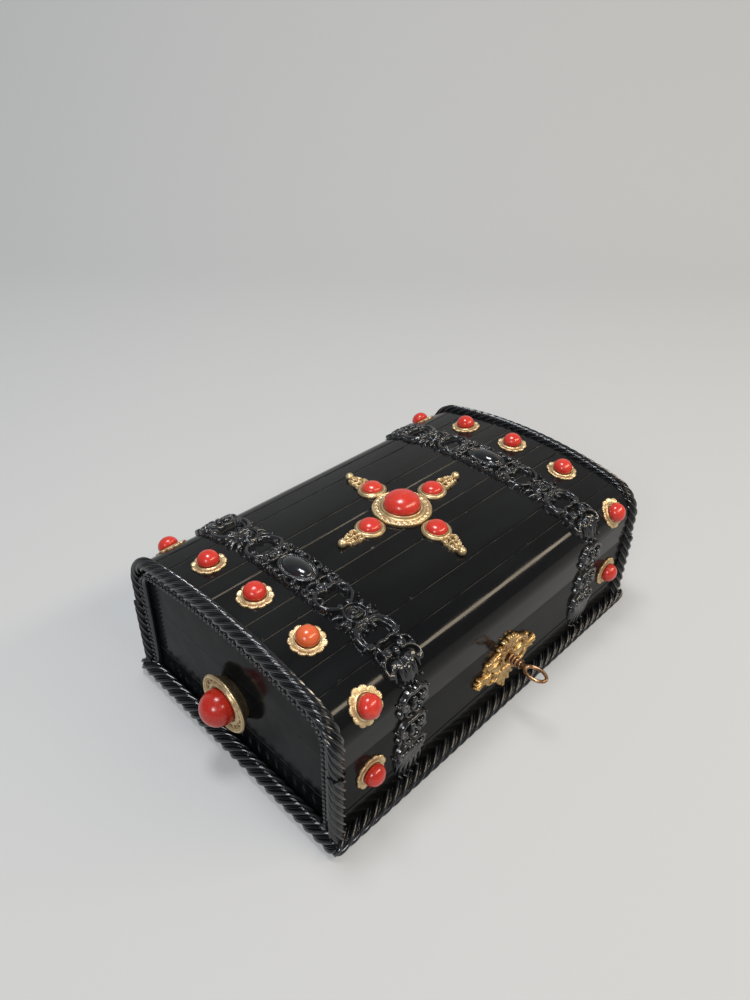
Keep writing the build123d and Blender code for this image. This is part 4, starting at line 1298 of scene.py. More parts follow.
@dataclass
class Ropes:
    """Twisted rope mouldings with their rows of beads."""

    finishes: Finishes
    trees: Trees
    lid: RopeSize = RopeSize(4.5, 6.0, 3.5, 40.0, 6.0)
    corner: RopeSize = RopeSize(4.8, 7.0, 4.5, 42.0, 6.0)
    foot: RopeSize = RopeSize(5.5, 10.5, 6.8, 40.0, 5.0)
    foot_lift: float = 0.2
    depth: float = 0.46
    step: float = 0.9
    rail_step: float = 3.0
    rail: float = 2.5
    bead_radius: float = 1.25
    bead_pitch: float = 3.5
    bead_inset: float = 7.5
    bead_out: float = 4.2

    def rope(self, name: str, lines: Sequence[np.ndarray], size: RopeSize) -> bpy.types.Object:
        """Rope moulding along some lines.

        Args:
            name: name of the piece.
            lines: its middle lines.
            size: thickness and lay.

        Returns:
            The rope.
        """
        return self.trees.rope.bake(
            guide(name + "_line", lines),
            name,
            Radius=size.radius * MM,
            Lead=-size.lead * MM,
            Strands=size.strands,
            Depth=self.depth,
            Step=self.step * MM,
            Finish=self.finishes.carved,
        )

    def beads(self, name: str, lines: Sequence[np.ndarray]) -> list[bpy.types.Object]:
        """Row of beads on a half-round rail.

        Args:
            name: name of the row.
            lines: middle lines of the beads.

        Returns:
            The rail and the beads.
        """
        rails = [line - np.array([math.copysign(self.rail, line[0, 0]), 0, 0]) for line in lines]
        rail = self.trees.rope.bake(
            guide(name + "_rail_line", rails),
            name + "_rail",
            Radius=self.rail * MM,
            Lead=1.0,
            Strands=1.0,
            Depth=0.0,
            Step=self.rail_step * MM,
            Finish=self.finishes.carved,
        )
        row = self.trees.beads.bake(
            guide(name + "_line", lines),
            name,
            Radius=self.bead_radius * MM,
            Pitch=self.bead_pitch * MM,
            Finish=self.finishes.carved,
        )
        return [rail, row]

    def over_lid(self, x: float, grow: float) -> np.ndarray:
        """Line over the lid at a distance out from its outside."""
        top = CASE.run_at(CASE.seam_height + CASE.seam_gap / 2)
        return CASE.point(x, np.arange(-top, top + 0.5, 1.0).clip(-top, top), grow)

    def foot_rope(self, name: str, start: Point2, end: Point2) -> None:
        """One foot rope, cut to a mitre at both corners.

        Args:
            name: side of the case.
            start: the corner of the middle lines where it starts.
            end: the corner where it ends.
        """
        low = self.foot_lift + self.foot.radius
        ends = np.array([[*start, low], [*end, low]])
        way = (ends[1] - ends[0]) / np.linalg.norm(ends[1] - ends[0])
        past = way * self.foot.radius * 1.2
        piece = self.rope(f"foot_rope_{name}", [np.array([ends[0] - past, ends[1] + past])], self.foot)
        out = np.sign(ends[0] + ends[1]) * (1 - np.abs(way)) * (1, 1, 0)
        for spot, turn in ((ends[0], -1), (ends[1], 1)):
            mitre(piece, spot.tolist(), (turn * way).tolist(), out.tolist())
        settle(piece, Body.BASE, [f"base_rope_{name}"], "twisted foot rope")

    def build(self) -> None:
        """Make the ropes over the lid, up the corners and round the foot."""
        rim = CASE.seam_height - CASE.seam_gap / 2
        x, y = self.foot.end_x, self.foot.side_y
        for name, side in SIDES:
            line = self.over_lid(side * self.lid.end_x, self.lid.grow)
            rope = self.rope(f"rope_over_lid_{name}", [line], self.lid)
            row_x = side * (CASE.half_length + self.bead_out)
            row = self.beads(f"beads_{name}", [self.over_lid(row_x, -self.bead_inset)])
            piece = merge([rope, *row], f"lid_rope_carved_{name}")
            settle(piece, Body.LID, [f"lid_rope_{name}"], "twisted rope with a bead row")
            self.foot_rope(name, (side * x, -y), (side * x, y))
        for name, face in (("front", -1), ("back", 1)):
            self.foot_rope(name, (-x, face * y), (x, face * y))
        posts, rows = [], []
        low, above = self.foot.radius, 2 * self.foot.radius + 2
        for side in (-1, 1):
            for face in (-1, 1):
                x, y = side * self.corner.end_x, face * self.corner.side_y
                posts.append(np.array([[x, y, low], [x, y, rim]]))
                row_x = side * (CASE.half_length + self.bead_out)
                row_y = face * (CASE.half_depth - self.bead_inset)
                rows.append(np.array([[row_x, row_y, above], [row_x, row_y, rim]]))
        rope = self.rope("corner_post", posts, self.corner)
        piece = merge([rope, *self.beads("corner_beads", rows)], "corner_ropes_carved")
        settle(piece, Body.BASE, ["base_corner_ropes"], "corner ropes with bead rows")


@dataclass
class Straps:
    """Carved leaf-and-scroll straps over the lid and down the walls."""

    finishes: Finishes
    place: float = 84.0
    half_width: float = 13.2
    step: float = 0.31
    swell: float = 1.18
    sunk: float = 1.0
    depth: float = 1.8
    foot_height: float = 11.2

    def quarter(self, start: float, end: float) -> Carving:
        """Empty carving for one half of a strap's width.

        Args:
            start: run at its upper end.
            end: run at its lower end.

        Returns:
            The carving.
        """
        across = np.linspace(0, self.half_width, int(self.half_width / self.step) + 1)
        along = np.linspace(start, end, int((end - start) / self.step) + 1)
        grid = np.meshgrid(across, along)
        return Carving(grid[0], grid[1], self.sunk, self.swell)

    def cartouche(self, c: Carving) -> None:
        """Plain oval cabochon in a fluted collar and a moulded ring, at the crown."""
        c.dome((0, 0), (9.3, 13.9), 1.0, 1.9)
        turn = np.arctan2(c.along / 12.0, c.across / 7.4)
        away = np.abs(np.hypot(c.across / 7.4, c.along / 12.0) - 0.97)
        c.lift(2.4 + 0.8 * np.abs(np.sin(22 * turn)) - 9 * away, away < 0.14)
        c.ring((0, 0), (8.6, 13.2), 1.3, 1.4, 3.4)
        c.dome((0, 0), (6.3, 11.0), 2.6, 6.3)
        c.scroll([(9.3, 1.0), (11.2, 2.4), (11.9, 5.0), (11.1, 7.6)], 1.5, 1.2, 1, (0.85, 0.6), (2.7, 2.9))
        c.floret((10.3, 11.6), 2.2, 3.4)
        c.berries(((12.3, 9.4, 0.8), (12.3, 0.2, 0.8), (12.2, 14.2, 0.9)), 2.6)

    def palmette(self, c: Carving) -> None:
        """Small palmette and curls under the oval."""
        c.dome((0, 16.0), (2.0, 1.9), 1.4, 3.7)
        c.scroll([(1.8, 15.0), (4.8, 14.9), (7.6, 16.2), (8.6, 18.8)], 1.7, 1.3, 1, (0.95, 0.6), (3.1, 3.1))
        c.scroll([(8.8, 15.0), (11.2, 16.2), (12.1, 18.8)], 1.3, 1.1, 1, (0.75, 0.5), (2.6, 2.7))
        c.leaf([(0, 17.6), (0, 20.4), (0, 24.0)], 1.6, 3.2)
        c.leaf([(1.6, 17.8), (3.2, 20.0), (2.9, 23.4)], 1.3, 2.9)

    def heart(self, c: Carving) -> None:
        """Two strands that part round a heart of plain slat."""
        line = [(2.2, 22.6), (6.0, 22.2), (10.2, 25.4), (10.6, 30.0), (8.4, 34.6), (3.8, 38.0)]
        c.scroll(line, 1.3, 1.1, 1, (1.25, 0.85), (3.3, 3.0), 0.12)
        c.scroll([(8.4, 24.4), (6.7, 26.4), (6.9, 29.2)], 1.1, 1.1, -1, (0.65, 0.5), (2.5, 2.6))
        c.leaf([(8.2, 35.4), (10.0, 33.0), (12.4, 31.8)], 1.2, 2.7)
        c.leaf([(9.4, 23.0), (11.2, 22.4), (12.6, 23.6)], 1.1, 2.6)
        c.berries(((12.4, 27.4, 0.8), (11.6, 36.0, 0.9), (0, 38.4, 1.2)), 2.7)

    def rose(self, c: Carving) -> None:
        """Rose with a swirled bud, in a round collar between leaves."""
        c.dome((0, 45.2), (7.2, 7.2), 1.0, 1.6)
        c.ring((0, 45.2), (6.3, 6.3), 1.5, 1.2, 3.6)
        c.dome((0, 45.2), (4.9, 4.9), 1.6, 3.0)
        for start in (0.4, 0.4 + math.pi):
            angles = np.linspace(0, 4.4, 30)
            reach = 4.3 * (1 - angles / 5.4)
            line = np.stack([reach * np.cos(angles + start), 45.2 + reach * np.sin(angles + start)], axis=1)
            c.stroke(line, (1.0, 0.7), (3.9, 4.9))
        c.leaf([(6.8, 46.4), (9.4, 46.4), (12.4, 44.2)], 1.5, 3.0)
        c.leaf([(6.6, 43.2), (8.8, 41.0), (11.8, 40.0)], 1.4, 2.8)
        c.leaf([(6.2, 48.4), (8.8, 50.2), (12.0, 50.4)], 1.3, 2.7)
        c.berries(((10.0, 37.6, 1.0), (12.3, 47.8, 0.8), (9.6, 53.0, 1.0)), 2.6)

    def arch(self, c: Carving) -> None:
        """Two smooth strands that part round an arched window of plain slat."""
        line = [(2.4, 52.4), (6.4, 52.8), (9.8, 56.2), (11.3, 61.0), (10.4, 66.0)]
        c.scroll(line, 1.7, 1.2, 1, (1.35, 0.9), (3.4, 3.2), 0.1)
        c.stroke(smooth_path([(3.4, 54.6), (6.4, 55.8), (8.4, 59.4), (8.9, 64.0)]), (0.75, 0.6), (2.5, 2.3))
        c.scroll([(0.3, 53.0), (1.5, 55.2), (3.2, 56.4)], 1.0, 1.0, 1, (0.7, 0.5), (2.6, 2.6))
        c.berries(((12.4, 56.6, 0.8), (12.6, 65.0, 0.8)), 2.4)

    def shoulder_leaves(self, c: Carving) -> None:
        """Cluster of curls and curved leaves over the shoulder."""
        line = [(0.8, 67.2), (4.2, 66.6), (7.0, 69.0), (7.2, 73.0)]
        c.scroll(line, 2.3, 1.4, 1, (1.2, 0.8), (3.9, 3.9), 0.1)
        c.scroll([(8.8, 69.8), (11.4, 71.8), (12.0, 75.4)], 1.5, 1.1, 1, (0.8, 0.6), (2.9, 3.0))
        c.dome((0, 74.6), (2.1, 2.6), 1.6, 4.4)
        self.fan(c, 77.0)

    def fan(self, c: Carving, top: float) -> None:
        """Curved leaves that spread under a bead, between two curls.

        Args:
            c: the carving.
            top: run at which it starts.
        """
        low = top + 1.5
        c.dome((0, top + 7.0), (6.0, 7.0), 0.6, 1.5)
        c.leaf([(0, low), (0.2, low + 6.0), (0, low + 14.0)], 2.0, 4.3)
        c.leaf([(2.0, low), (4.4, low + 4.5), (4.6, low + 12.0)], 1.7, 4.0)
        c.leaf([(3.4, low - 0.6), (7.6, low + 2.2), (8.6, low + 8.6)], 1.6, 3.6)
        curled = [(4.6, top - 2.0), (8.6, top - 1.6), (11.6, top + 1.4), (11.8, top + 5.4)]
        c.scroll(curled, 1.6, 1.2, 1, (0.9, 0.65), (3.1, 3.2))
        c.berries(((2.4, top + 15.4, 1.0), (7.0, top + 13.4, 1.1)), 2.9)

    def drop(self, c: Carving, top: float) -> None:
        """Pair of curls round a bud, with two leaves under them.

        Args:
            c: the carving.
            top: run at which it starts.
        """
        line = [(0.6, top), (4.4, top - 0.4), (8.0, top + 2.2), (8.7, top + 6.6)]
        c.scroll(line, 2.2, 1.35, 1, (1.15, 0.8), (3.2, 3.2), 0.1)
        c.dome((0, top + 5.4), (1.9, 2.6), 1.2, 3.4)
        c.leaf([(0, top + 8.0), (0.2, top + 11.6), (0, top + 16.0)], 1.7, 3.1)
        c.leaf([(8.6, top + 8.4), (9.6, top + 12.0), (7.4, top + 15.8)], 1.4, 2.8)
        curled = [(1.8, top + 16.4), (4.2, top + 15.8), (6.0, top + 13.4), (5.4, top + 10.8)]
        c.scroll(curled, 1.2, 1.1, -1, (0.8, 0.55), (2.7, 2.7))
        c.berries(((11.0, top + 3.4, 1.0),), 2.4)

    def spray(self, c: Carving, top: float) -> None:
        """Leafy spray at the foot of the strap.

        Args:
            c: the carving.
            top: run at which it starts.
        """
        line = [(0.8, top), (5.0, top - 0.8), (9.2, top + 1.6), (9.6, top + 6.0)]
        c.scroll(line, 2.3, 1.35, 1, (1.2, 0.8), (3.2, 3.2))
        c.dome((0, top + 4.6), (2.6, 2.8), 1.4, 3.8)
        for x, y, half in ((0.0, 23.0, 1.8), (4.2, 22.0, 1.7), (8.0, 18.6, 1.6), (10.9, 13.4, 1.4)):
            line = [(x * 0.2, top + 6.0), (x * 0.85, top + 4.0 + y * 0.5), (x, top + 4.0 + y)]
            c.leaf(line, half, 3.3)
        c.berries(((12.0, top + 5.0, 1.0), (2.2, top + 28.0, 0.9), (6.4, top + 25.4, 0.9)), 2.4)

    def shape(self, name: str, x: float, carving: Carving, way: int) -> bpy.types.Object:
        """Strap solid on the case.

        Args:
            name: name of the piece.
            x: middle of the strap.
            carving: its height map.
            way: 1 as carved, -1 for the back.

        Returns:
            The strap.
        """
        solid = relief_solid(carving, lambda u, v, h: CASE.point(x + u, way * v, h), self.depth)
        return make_mesh(name, solid, self.finishes.carved)

    def build(self) -> None:
        """Make both lid straps and the four straps on the walls."""
        gap = CASE.seam_gap / 2
        c = self.quarter(0.0, CASE.run_at(CASE.seam_height + gap))
        for part in (self.cartouche, self.palmette, self.heart, self.rose, self.arch, self.shoulder_leaves):
            part(c)
        self.drop(c, 96.4)
        c.heights = soften(c.heights, 1)
        over = c.mirrored(True)
        c = self.quarter(CASE.run_at(CASE.seam_height - gap), CASE.run_at(self.foot_height))
        top = CASE.run_at(CASE.seam_height - gap)
        self.drop(c, top + 1.6)
        self.spray(c, top + 20.0)
        c.heights = soften(c.heights, 1)
        wall = c.mirrored()
        for name, side in SIDES:
            x = side * self.place
            piece = self.shape(f"lid_strap_carved_{name}", x, over, 1)
            settle(piece, Body.LID, [f"lid_strap_{name}"], "carved strap")
            for face_name, way in (("front", 1), ("back", -1)):
                piece = self.shape(f"wall_strap_carved_{face_name}_{name}", x, wall, way)
                node = f"base_strap_{face_name}_{name}"
                settle(piece, Body.BASE, [node], "carved strap on the wall")


@dataclass(frozen=True)
class BeadSize:
    """Radius of a coral bead, its height, and the height of its widest place, in millimetres."""

    radius: float
    rise: float
    edge: float


def coral_beads(
    trees: Trees,
    finish: bpy.types.Material,
    name: str,
    seats: Sequence[Seat],
    tones: Sequence[float],
    size: BeadSize,
    seed: float,
) -> bpy.types.Object:
    """Coral beads of one size.

    Args:
        trees: the Geometry Nodes trees.
        finish: the coral's material.
        name: name of the piece.
        seats: place and facing of each bead.
        tones: tone of each bead, from 0 for deep red to 1 for orange.
        size: their size.
        seed: chooses the noise that makes them uneven.

    Returns:
        The beads as one piece.
    """
    marks = {
        "facing": [seat.out for seat in seats],
        "size": [size.radius * MM] * len(seats),
        "tone": tones,
    }
    return trees.coral.bake(
        guide(name + "_spots", [[seat.origin] for seat in seats], marks),
        name,
        Rise=size.rise / size.radius,
        Edge=size.edge / size.radius,
        Waver=0.35 * MM,
        Seed=seed,
        Finish=finish,
    )


@dataclass
class Studs:
    """Scalloped gilt plates with their coral beads, on the lid and the base."""

    finishes: Finishes
    trees: Trees
    place: float = 113.4
    plate_radius: float = 10.5
    lobes: int = 11
    coral: BeadSize = BeadSize(6.3, 8.45, 3.0)
    crown_reach: float = 41.5
    shoulder_tilt: float = 55.0
    base_height: float = 41.5

    def runs(self) -> list[float]:
        """Runs of the five studs on each end of the lid."""
        crown = CASE.crown_radius * math.asin(self.crown_reach / CASE.crown_radius)
        turn = math.radians(self.shoulder_tilt) - CASE.start_angle
        shoulder = CASE.crown_run + CASE.shoulder_radius * turn
        return [-shoulder, -crown, 0.0, crown, shoulder]

    def plate(self, x: float, run: float, turn: float) -> Solid:
        """One scalloped plate bent over the case.

        Args:
            x: its middle along the case.
            run: its middle over the case.
            turn: turn of its lobes, in radians.

        Returns:
            Points, faces and marks.
        """
        around, rings = 264, 26
        angles = np.linspace(0, 2 * math.pi, around, endpoint=False)[None, :]
        shares = np.linspace(0.18, 1, rings)[:, None]
        lobe = np.abs(np.sin(self.lobes * (angles + turn) / 2))
        uneven = 0.12 * np.sin(3 * angles + 5 * turn) + 0.10 * np.sin(5 * angles + 2 + turn)
        edge = self.plate_radius - 1.5 + 1.3 * np.sqrt(lobe) + uneven
        radii = shares * edge
        dish = 0.75 + 0.55 * np.clip((radii - 6.3) / 3.2, 0, 1)
        vein = 0.34 * np.clip((radii - 6.6) / 1.6, 0, 1) * (1 - lobe**0.5)
        ribs = 0.12 * np.cos(5 * self.lobes * (angles + turn)) * np.clip((radii - 7.0) / 1.0, 0, 1)
        seat = 0.75 * np.exp(-(((radii - 6.45) / 0.42) ** 2))
        round_off = 0.75 * np.clip((radii - edge + 0.9) / 0.9, 0, 1) ** 2
        heights = dish - vein + ribs + seat - round_off
        return disc_solid(heights, radii, lambda u, v, h: CASE.point(x + u, run + v, h), 0.5)

    def plates(self, name: str, spots: Sequence[Point2], body: Body, node: str) -> None:
        """All the plates of one body as one piece."""
        parts = [self.plate(x, run, 0.37 * i) for i, (x, run) in enumerate(spots)]
        piece = make_mesh(name, join_parts(parts), self.finishes.pale_gilt)
        settle(piece, body, [node], f"{len(spots)} scalloped plates")

    def corals(
        self, name: str, spots: Sequence[Point2], tones: Sequence[float], body: Body, node: str
    ) -> None:
        """All the coral beads of one body as one piece."""
        seats = [CASE.seat(x, run) for x, run in spots]
        piece = coral_beads(self.trees, self.finishes.coral, name, seats, tones, self.coral, 1.0)
        settle(piece, body, [node], f"{len(spots)} coral beads")

    def build(self) -> None:
        """Make the studs of the lid and of the base."""
        lid = [(side * self.place, run) for side in (-1, 1) for run in self.runs()]
        self.plates("lid_scalloped_plates", lid, Body.LID, "lid_stud_plates")
        tones = [0.45, 0.5, 0.5, 0.95, 0.40, 0.40, 0.42, 0.5, 0.45, 0.5]
        self.corals("lid_coral_beads", lid, tones, Body.LID, "lid_stud_corals")
        run = CASE.run_at(self.base_height)
        base = [(side * self.place, way * run) for side in (-1, 1) for way in (-1, 1)]
        self.plates("base_scalloped_plates", base, Body.BASE, "base_stud_plates")
        self.corals("base_coral_beads", base, [0.4, 0.3, 0.45, 0.42], Body.BASE, "base_stud_corals")


@dataclass
class Cross:
    """Gilt cross on the crown: engraved ring, four bezels, openwork finials and their corals."""

    finishes: Finishes
    trees: Trees
    ring_radius: float = 18.8
    coral_radius: float = 11.6
    coral_rise: float = 12.4
    coral_edge: float = 4.6
    arm: float = 28.2
    bezel_radius: float = 9.3
    small_radius: float = 6.8
    small_rise: float = 6.5
    small_edge: float = 2.4
    finial_length: float = 16.6
    finial_depth: float = 1.4
    ball_radius: float = 2.7
    ball_lift: float = 1.8

    def ring(self) -> None:
        """Engraved ring with a band of laurel leaves and a thin collet."""
        around, rings = 360, 70
        angles = np.linspace(0, 2 * math.pi, around, endpoint=False)[None, :]
        radii = np.repeat(np.linspace(8.0, self.ring_radius, rings)[:, None], around, axis=1)
        knots = (
            (8.0, 1.4), (11.5, 1.4), (11.6, 3.5), (12.4, 3.6), (12.8, 2.3), (13.3, 2.0), (13.7, 2.5),
            (14.2, 2.4), (14.6, 1.85), (16.0, 2.1), (17.3, 1.8), (17.7, 2.35), (18.3, 2.2), (18.8, 1.2),
        )
        heights = np.interp(radii, [k[0] for k in knots], [k[1] for k in knots])
        lean = np.abs(radii - 15.95) / 1.35
        leaf = np.abs(np.sin(13 * angles + 1.15 * lean))
        band = np.clip(1 - lean**4, 0, 1)
        heights = heights + band * (0.8 * leaf**0.7 - 0.35)
        heights = heights + 0.12 * np.sin(60 * angles) * np.exp(-(((radii - 18.0) / 0.4) ** 2))
        edge = 0.10 * np.sin(7 * angles) + 0.08 * np.sin(11 * angles + 1) - 0.16
        radii = radii + edge * np.clip((radii - 17) / 2, 0, 1)
        solid = disc_solid(heights, radii, lambda u, v, h: CASE.point(u, v, h), 0.5)
        piece = make_mesh("engraved_ring", solid, self.finishes.pale_gilt)
        settle(piece, Body.LID, ["cross_ring"], "ring with a laurel band")

    def seats(self, reach: float, lean: float = 0.0) -> list[Seat]:
        """Seats on the four arms, their along direction outwards.

        Args:
            reach: distance from the middle of the cross.
            lean: share of each finial's own lean that is used.

        Returns:
            The seats.
        """
        found = []
        for turn, own in ((0.0, 0.0), (181.0, 0.0), (270.0, -14.0), (85.0, 0.0)):
            a, b = math.radians(turn), math.radians(turn + lean * own)
            seat = CASE.seat(reach * math.cos(a), -reach * math.sin(a))
            along = math.cos(b) * seat.across - math.sin(b) * seat.along
            found.append(Seat(seat.origin, np.cross(along, seat.out), along, seat.out))
        return found

    def bezels(self) -> None:
        """Plain stepped rings round the small corals."""
        r = self.bezel_radius
        section = [
            (0, -0.4), (r - 0.1, -0.4), (r, 0.9), (r - 0.35, 1.5), (r - 0.6, 1.35), (r - 0.9, 1.75),
            (r - 1.5, 2.15), (r - 2.0, 1.95), (r - 2.15, 2.45), (r - 2.55, 2.45), (r - 2.7, 1.4), (0, 1.4),
        ]
        points, faces = turned(rounded(section, 3), 96)
        # Painted shade: the hollow mark darkens two grooves of each ring.
        flat = np.zeros(len(points))
        radius = np.hypot(points[:, 0], points[:, 1])
        for low in (r - 0.6, r - 2.0):
            flat = np.maximum(flat, 0.7 * np.exp(-(((radius - low) / 0.22) ** 2)))
        parts = [(seat.put(points), faces, {"hollow": flat}) for seat in self.seats(self.arm)]
        solid = join_parts(parts)
        piece = make_mesh("cross_bezel_rings", solid, self.finishes.pale_gilt)
        settle(piece, Body.LID, ["cross_bezels"], "four stepped rings")

    def finial(self) -> Carving:
        """Openwork of paired scrolls round a knotted stem, its root at the bezel's edge."""
        across = np.linspace(-5.6, 5.6, 76)
        along = np.linspace(-0.8, self.finial_length - self.ball_radius, 104)
        c = Carving(*np.meshgrid(across, along), 0.8)
        for side in (-1, 1):
            root = [(0.4 * side, 0.4), (2.2 * side, -0.2), (4.4 * side, 0.6), (5.0 * side, 2.6)]
            c.scroll(root, 1.4, 1.1, side, (0.62, 0.5), (2.2, 2.6))
            upper = [(0.4 * side, 4.4), (1.8 * side, 4.4), (3.7 * side, 5.8), (3.9 * side, 7.6)]
            c.scroll(upper, 1.25, 1.1, side, (0.6, 0.45), (2.1, 2.4))
            hook = [(3.0 * side, 9.0), (2.2 * side, 10.8), (0.6 * side, 12.4)]
            c.stroke(smooth_path(hook), (0.5, 0.5), (2.0, 2.2))
            c.dome((4.7 * side, 5.2), (0.6, 0.6), 0.8, 2.1)
            c.dome((3.4 * side, 10.4), (0.65, 0.65), 0.8, 2.0)
        c.stroke(np.array([(0, -0.6), (0, 13.6)]), (0.6, 0.6), (2.3, 2.3))
        c.dome((0, 4.6), (1.1, 1.1), 1.2, 3.0)
        c.ring((0, 9.4), (1.4, 1.5), 0.85, 1.0, 2.7)
        c.dome((0, 12.4), (1.3, 0.9), 1.2, 2.8)
        c.heights = soften(c.heights, 1)
        return c

    def finials(self) -> None:
        """Four openwork finials, each ending in a ball."""
        carving = self.finial()
        ball, ball_faces = turned(
            [
                (0, -self.ball_radius),
                *[
                    (self.ball_radius * math.cos(a), self.ball_radius * math.sin(a))
                    for a in np.linspace(-1.45, 1.45, 17)
                ],
                (0, self.ball_radius),
            ],
            32,
        )
        parts = []
        for seat in self.seats(self.arm + self.bezel_radius - 0.4, 1.0):
            parts.append(
                relief_solid(
                    carving,
                    lambda u, v, h, s=seat: s.put(np.stack([u.ravel(), v.ravel(), h.ravel()], 1)),
                    self.finial_depth,
                )
            )
            far = self.finial_length - self.ball_radius
            placed = seat.put(ball + np.array([0, far, self.ball_lift]))
            parts.append((placed, ball_faces, {"hollow": np.zeros(len(ball))}))
        solid = join_parts(parts)
        piece = make_mesh("openwork_finials", solid, self.finishes.pale_gilt)
        settle(piece, Body.LID, ["cross_finials"], "four openwork finials")

    def corals(self) -> None:
        """Large coral in the ring and four small ones in the bezels."""
        great = BeadSize(self.coral_radius - 0.05, self.coral_rise, self.coral_edge)
        seats = [CASE.seat(0.0, 1e-6)]
        piece = coral_beads(self.trees, self.finishes.coral, "great_coral", seats, [0.42], great, 3.0)
        settle(piece, Body.LID, ["cross_coral"], "large coral")
        small = BeadSize(self.small_radius - 0.1, self.small_rise, self.small_edge)
        seats, tones = self.seats(self.arm), [0.45, 0.5, 0.35, 0.6]
        piece = coral_beads(self.trees, self.finishes.coral, "arm_corals", seats, tones, small, 5.0)
        settle(piece, Body.LID, ["cross_small_corals"], "four small corals")

    def build(self) -> None:
        """Make every piece of the cross."""
        self.ring()
        self.bezels()
        self.finials()
        self.corals()


@dataclass
class EndBosses:
    """Thin flared saucers with a large coral bead, one on each end."""

    finishes: Finishes
    height: float = 42.0
    radius: float = 18.6
    foot_radius: float = 14.0
    coral_radius: float = 10.9
    coral_middle: float = 10.4
    coral_tip: float = 21.1
    channel_radius: float = 14.55
    ornaments: int = 18

    def boss(self, seat: Seat) -> Solid:
        """Turned saucer with a stepped rim and small ornaments in its channel.

        Args:
            seat: the place on the end.

        Returns:
            Points, faces and marks.
        """
        knots = (
            (11.0, 5.0), (11.1, 7.2), (11.6, 7.6), (12.2, 7.4), (12.6, 7.6), (13.0, 7.3), (13.5, 6.5),
            (15.6, 6.5), (15.9, 7.4), (16.3, 7.7), (16.6, 7.3), (17.0, 7.9), (17.6, 8.0), (17.9, 7.6),
            (18.2, 7.5), (18.5, 7.1),
        )
        reach = np.linspace(18.5, 11.0, 60)
        rise = np.interp(reach, [k[0] for k in knots], [k[1] for k in knots])
        foot, rim = self.foot_radius, self.radius
        under = [(0, -0.4), (foot - 0.2, -0.4), (foot, 0.9), (foot + 0.8, 2.0)]
        under += [(17.6, 5.6), (rim - 0.1, 6.4), (rim, 6.8)]
        profile = under + list(zip(reach, rise)) + [(0, 5.0)]
        points, faces = turned(profile, 240)
        away = np.hypot(points[:, 0], points[:, 1])
        turn = np.arctan2(points[:, 1], points[:, 0])
        face = points[:, 2] > 6.3
        spot = np.clip(1 - ((away - self.channel_radius) / 0.95) ** 2, 0, 1) * face
        wave = np.clip(np.cos(self.ornaments * turn), 0, 1) ** 1.5
        bud = np.clip(-np.cos(2 * self.ornaments * turn), 0, 1)
        points[:, 2] += spot * (0.85 * wave + 0.3 * bud)
        # Painted shade: the hollow mark darkens the channel between the ornaments and three grooves.
        channel = np.clip(1 - ((away - self.channel_radius) / 1.3) ** 4, 0, 1) * face
        hollow = 0.62 * channel * (1 - 0.7 * wave)
        for groove in (12.2, 16.6, 18.1):
            hollow = np.maximum(hollow, 0.6 * np.exp(-(((away - groove) / 0.2) ** 2)) * face)
        return seat.put(points), faces, {"hollow": hollow}

    def coral(self, seat: Seat) -> Solid:
        """Nearly round coral bead standing out of the boss."""
        tall = self.coral_tip - self.coral_middle
        profile = [(0, self.coral_middle - tall * math.sin(0.5))]
        for a in np.linspace(-0.5, math.pi / 2, 44)[:-1]:
            profile.append((self.coral_radius * math.cos(a), self.coral_middle + tall * math.sin(a)))
        profile.append((0, self.coral_tip))
        points, faces = turned(profile, 80)
        points[:, :2] *= 1 - 0.012 * (1 + np.sin(0.45 * points[:, 1:2] + 0.3 * points[:, 2:3]))
        return seat.put(points), faces, {"tone": np.full(len(points), 0.12)}

    def build(self) -> None:
        """Make the boss and the bead of both ends."""
        for name, side in SIDES:
            seat = end_seat(side, self.height)
            solid = self.boss(seat)
            piece = make_mesh(f"moulded_boss_{name}", solid, self.finishes.pale_gilt)
            settle(piece, Body.BASE, [f"end_boss_{name}"], "flared boss")
            solid = self.coral(seat)
            piece = make_mesh(f"boss_bead_{name}", solid, self.finishes.coral)
            settle(piece, Body.BASE, [f"end_coral_{name}"], "large coral bead")


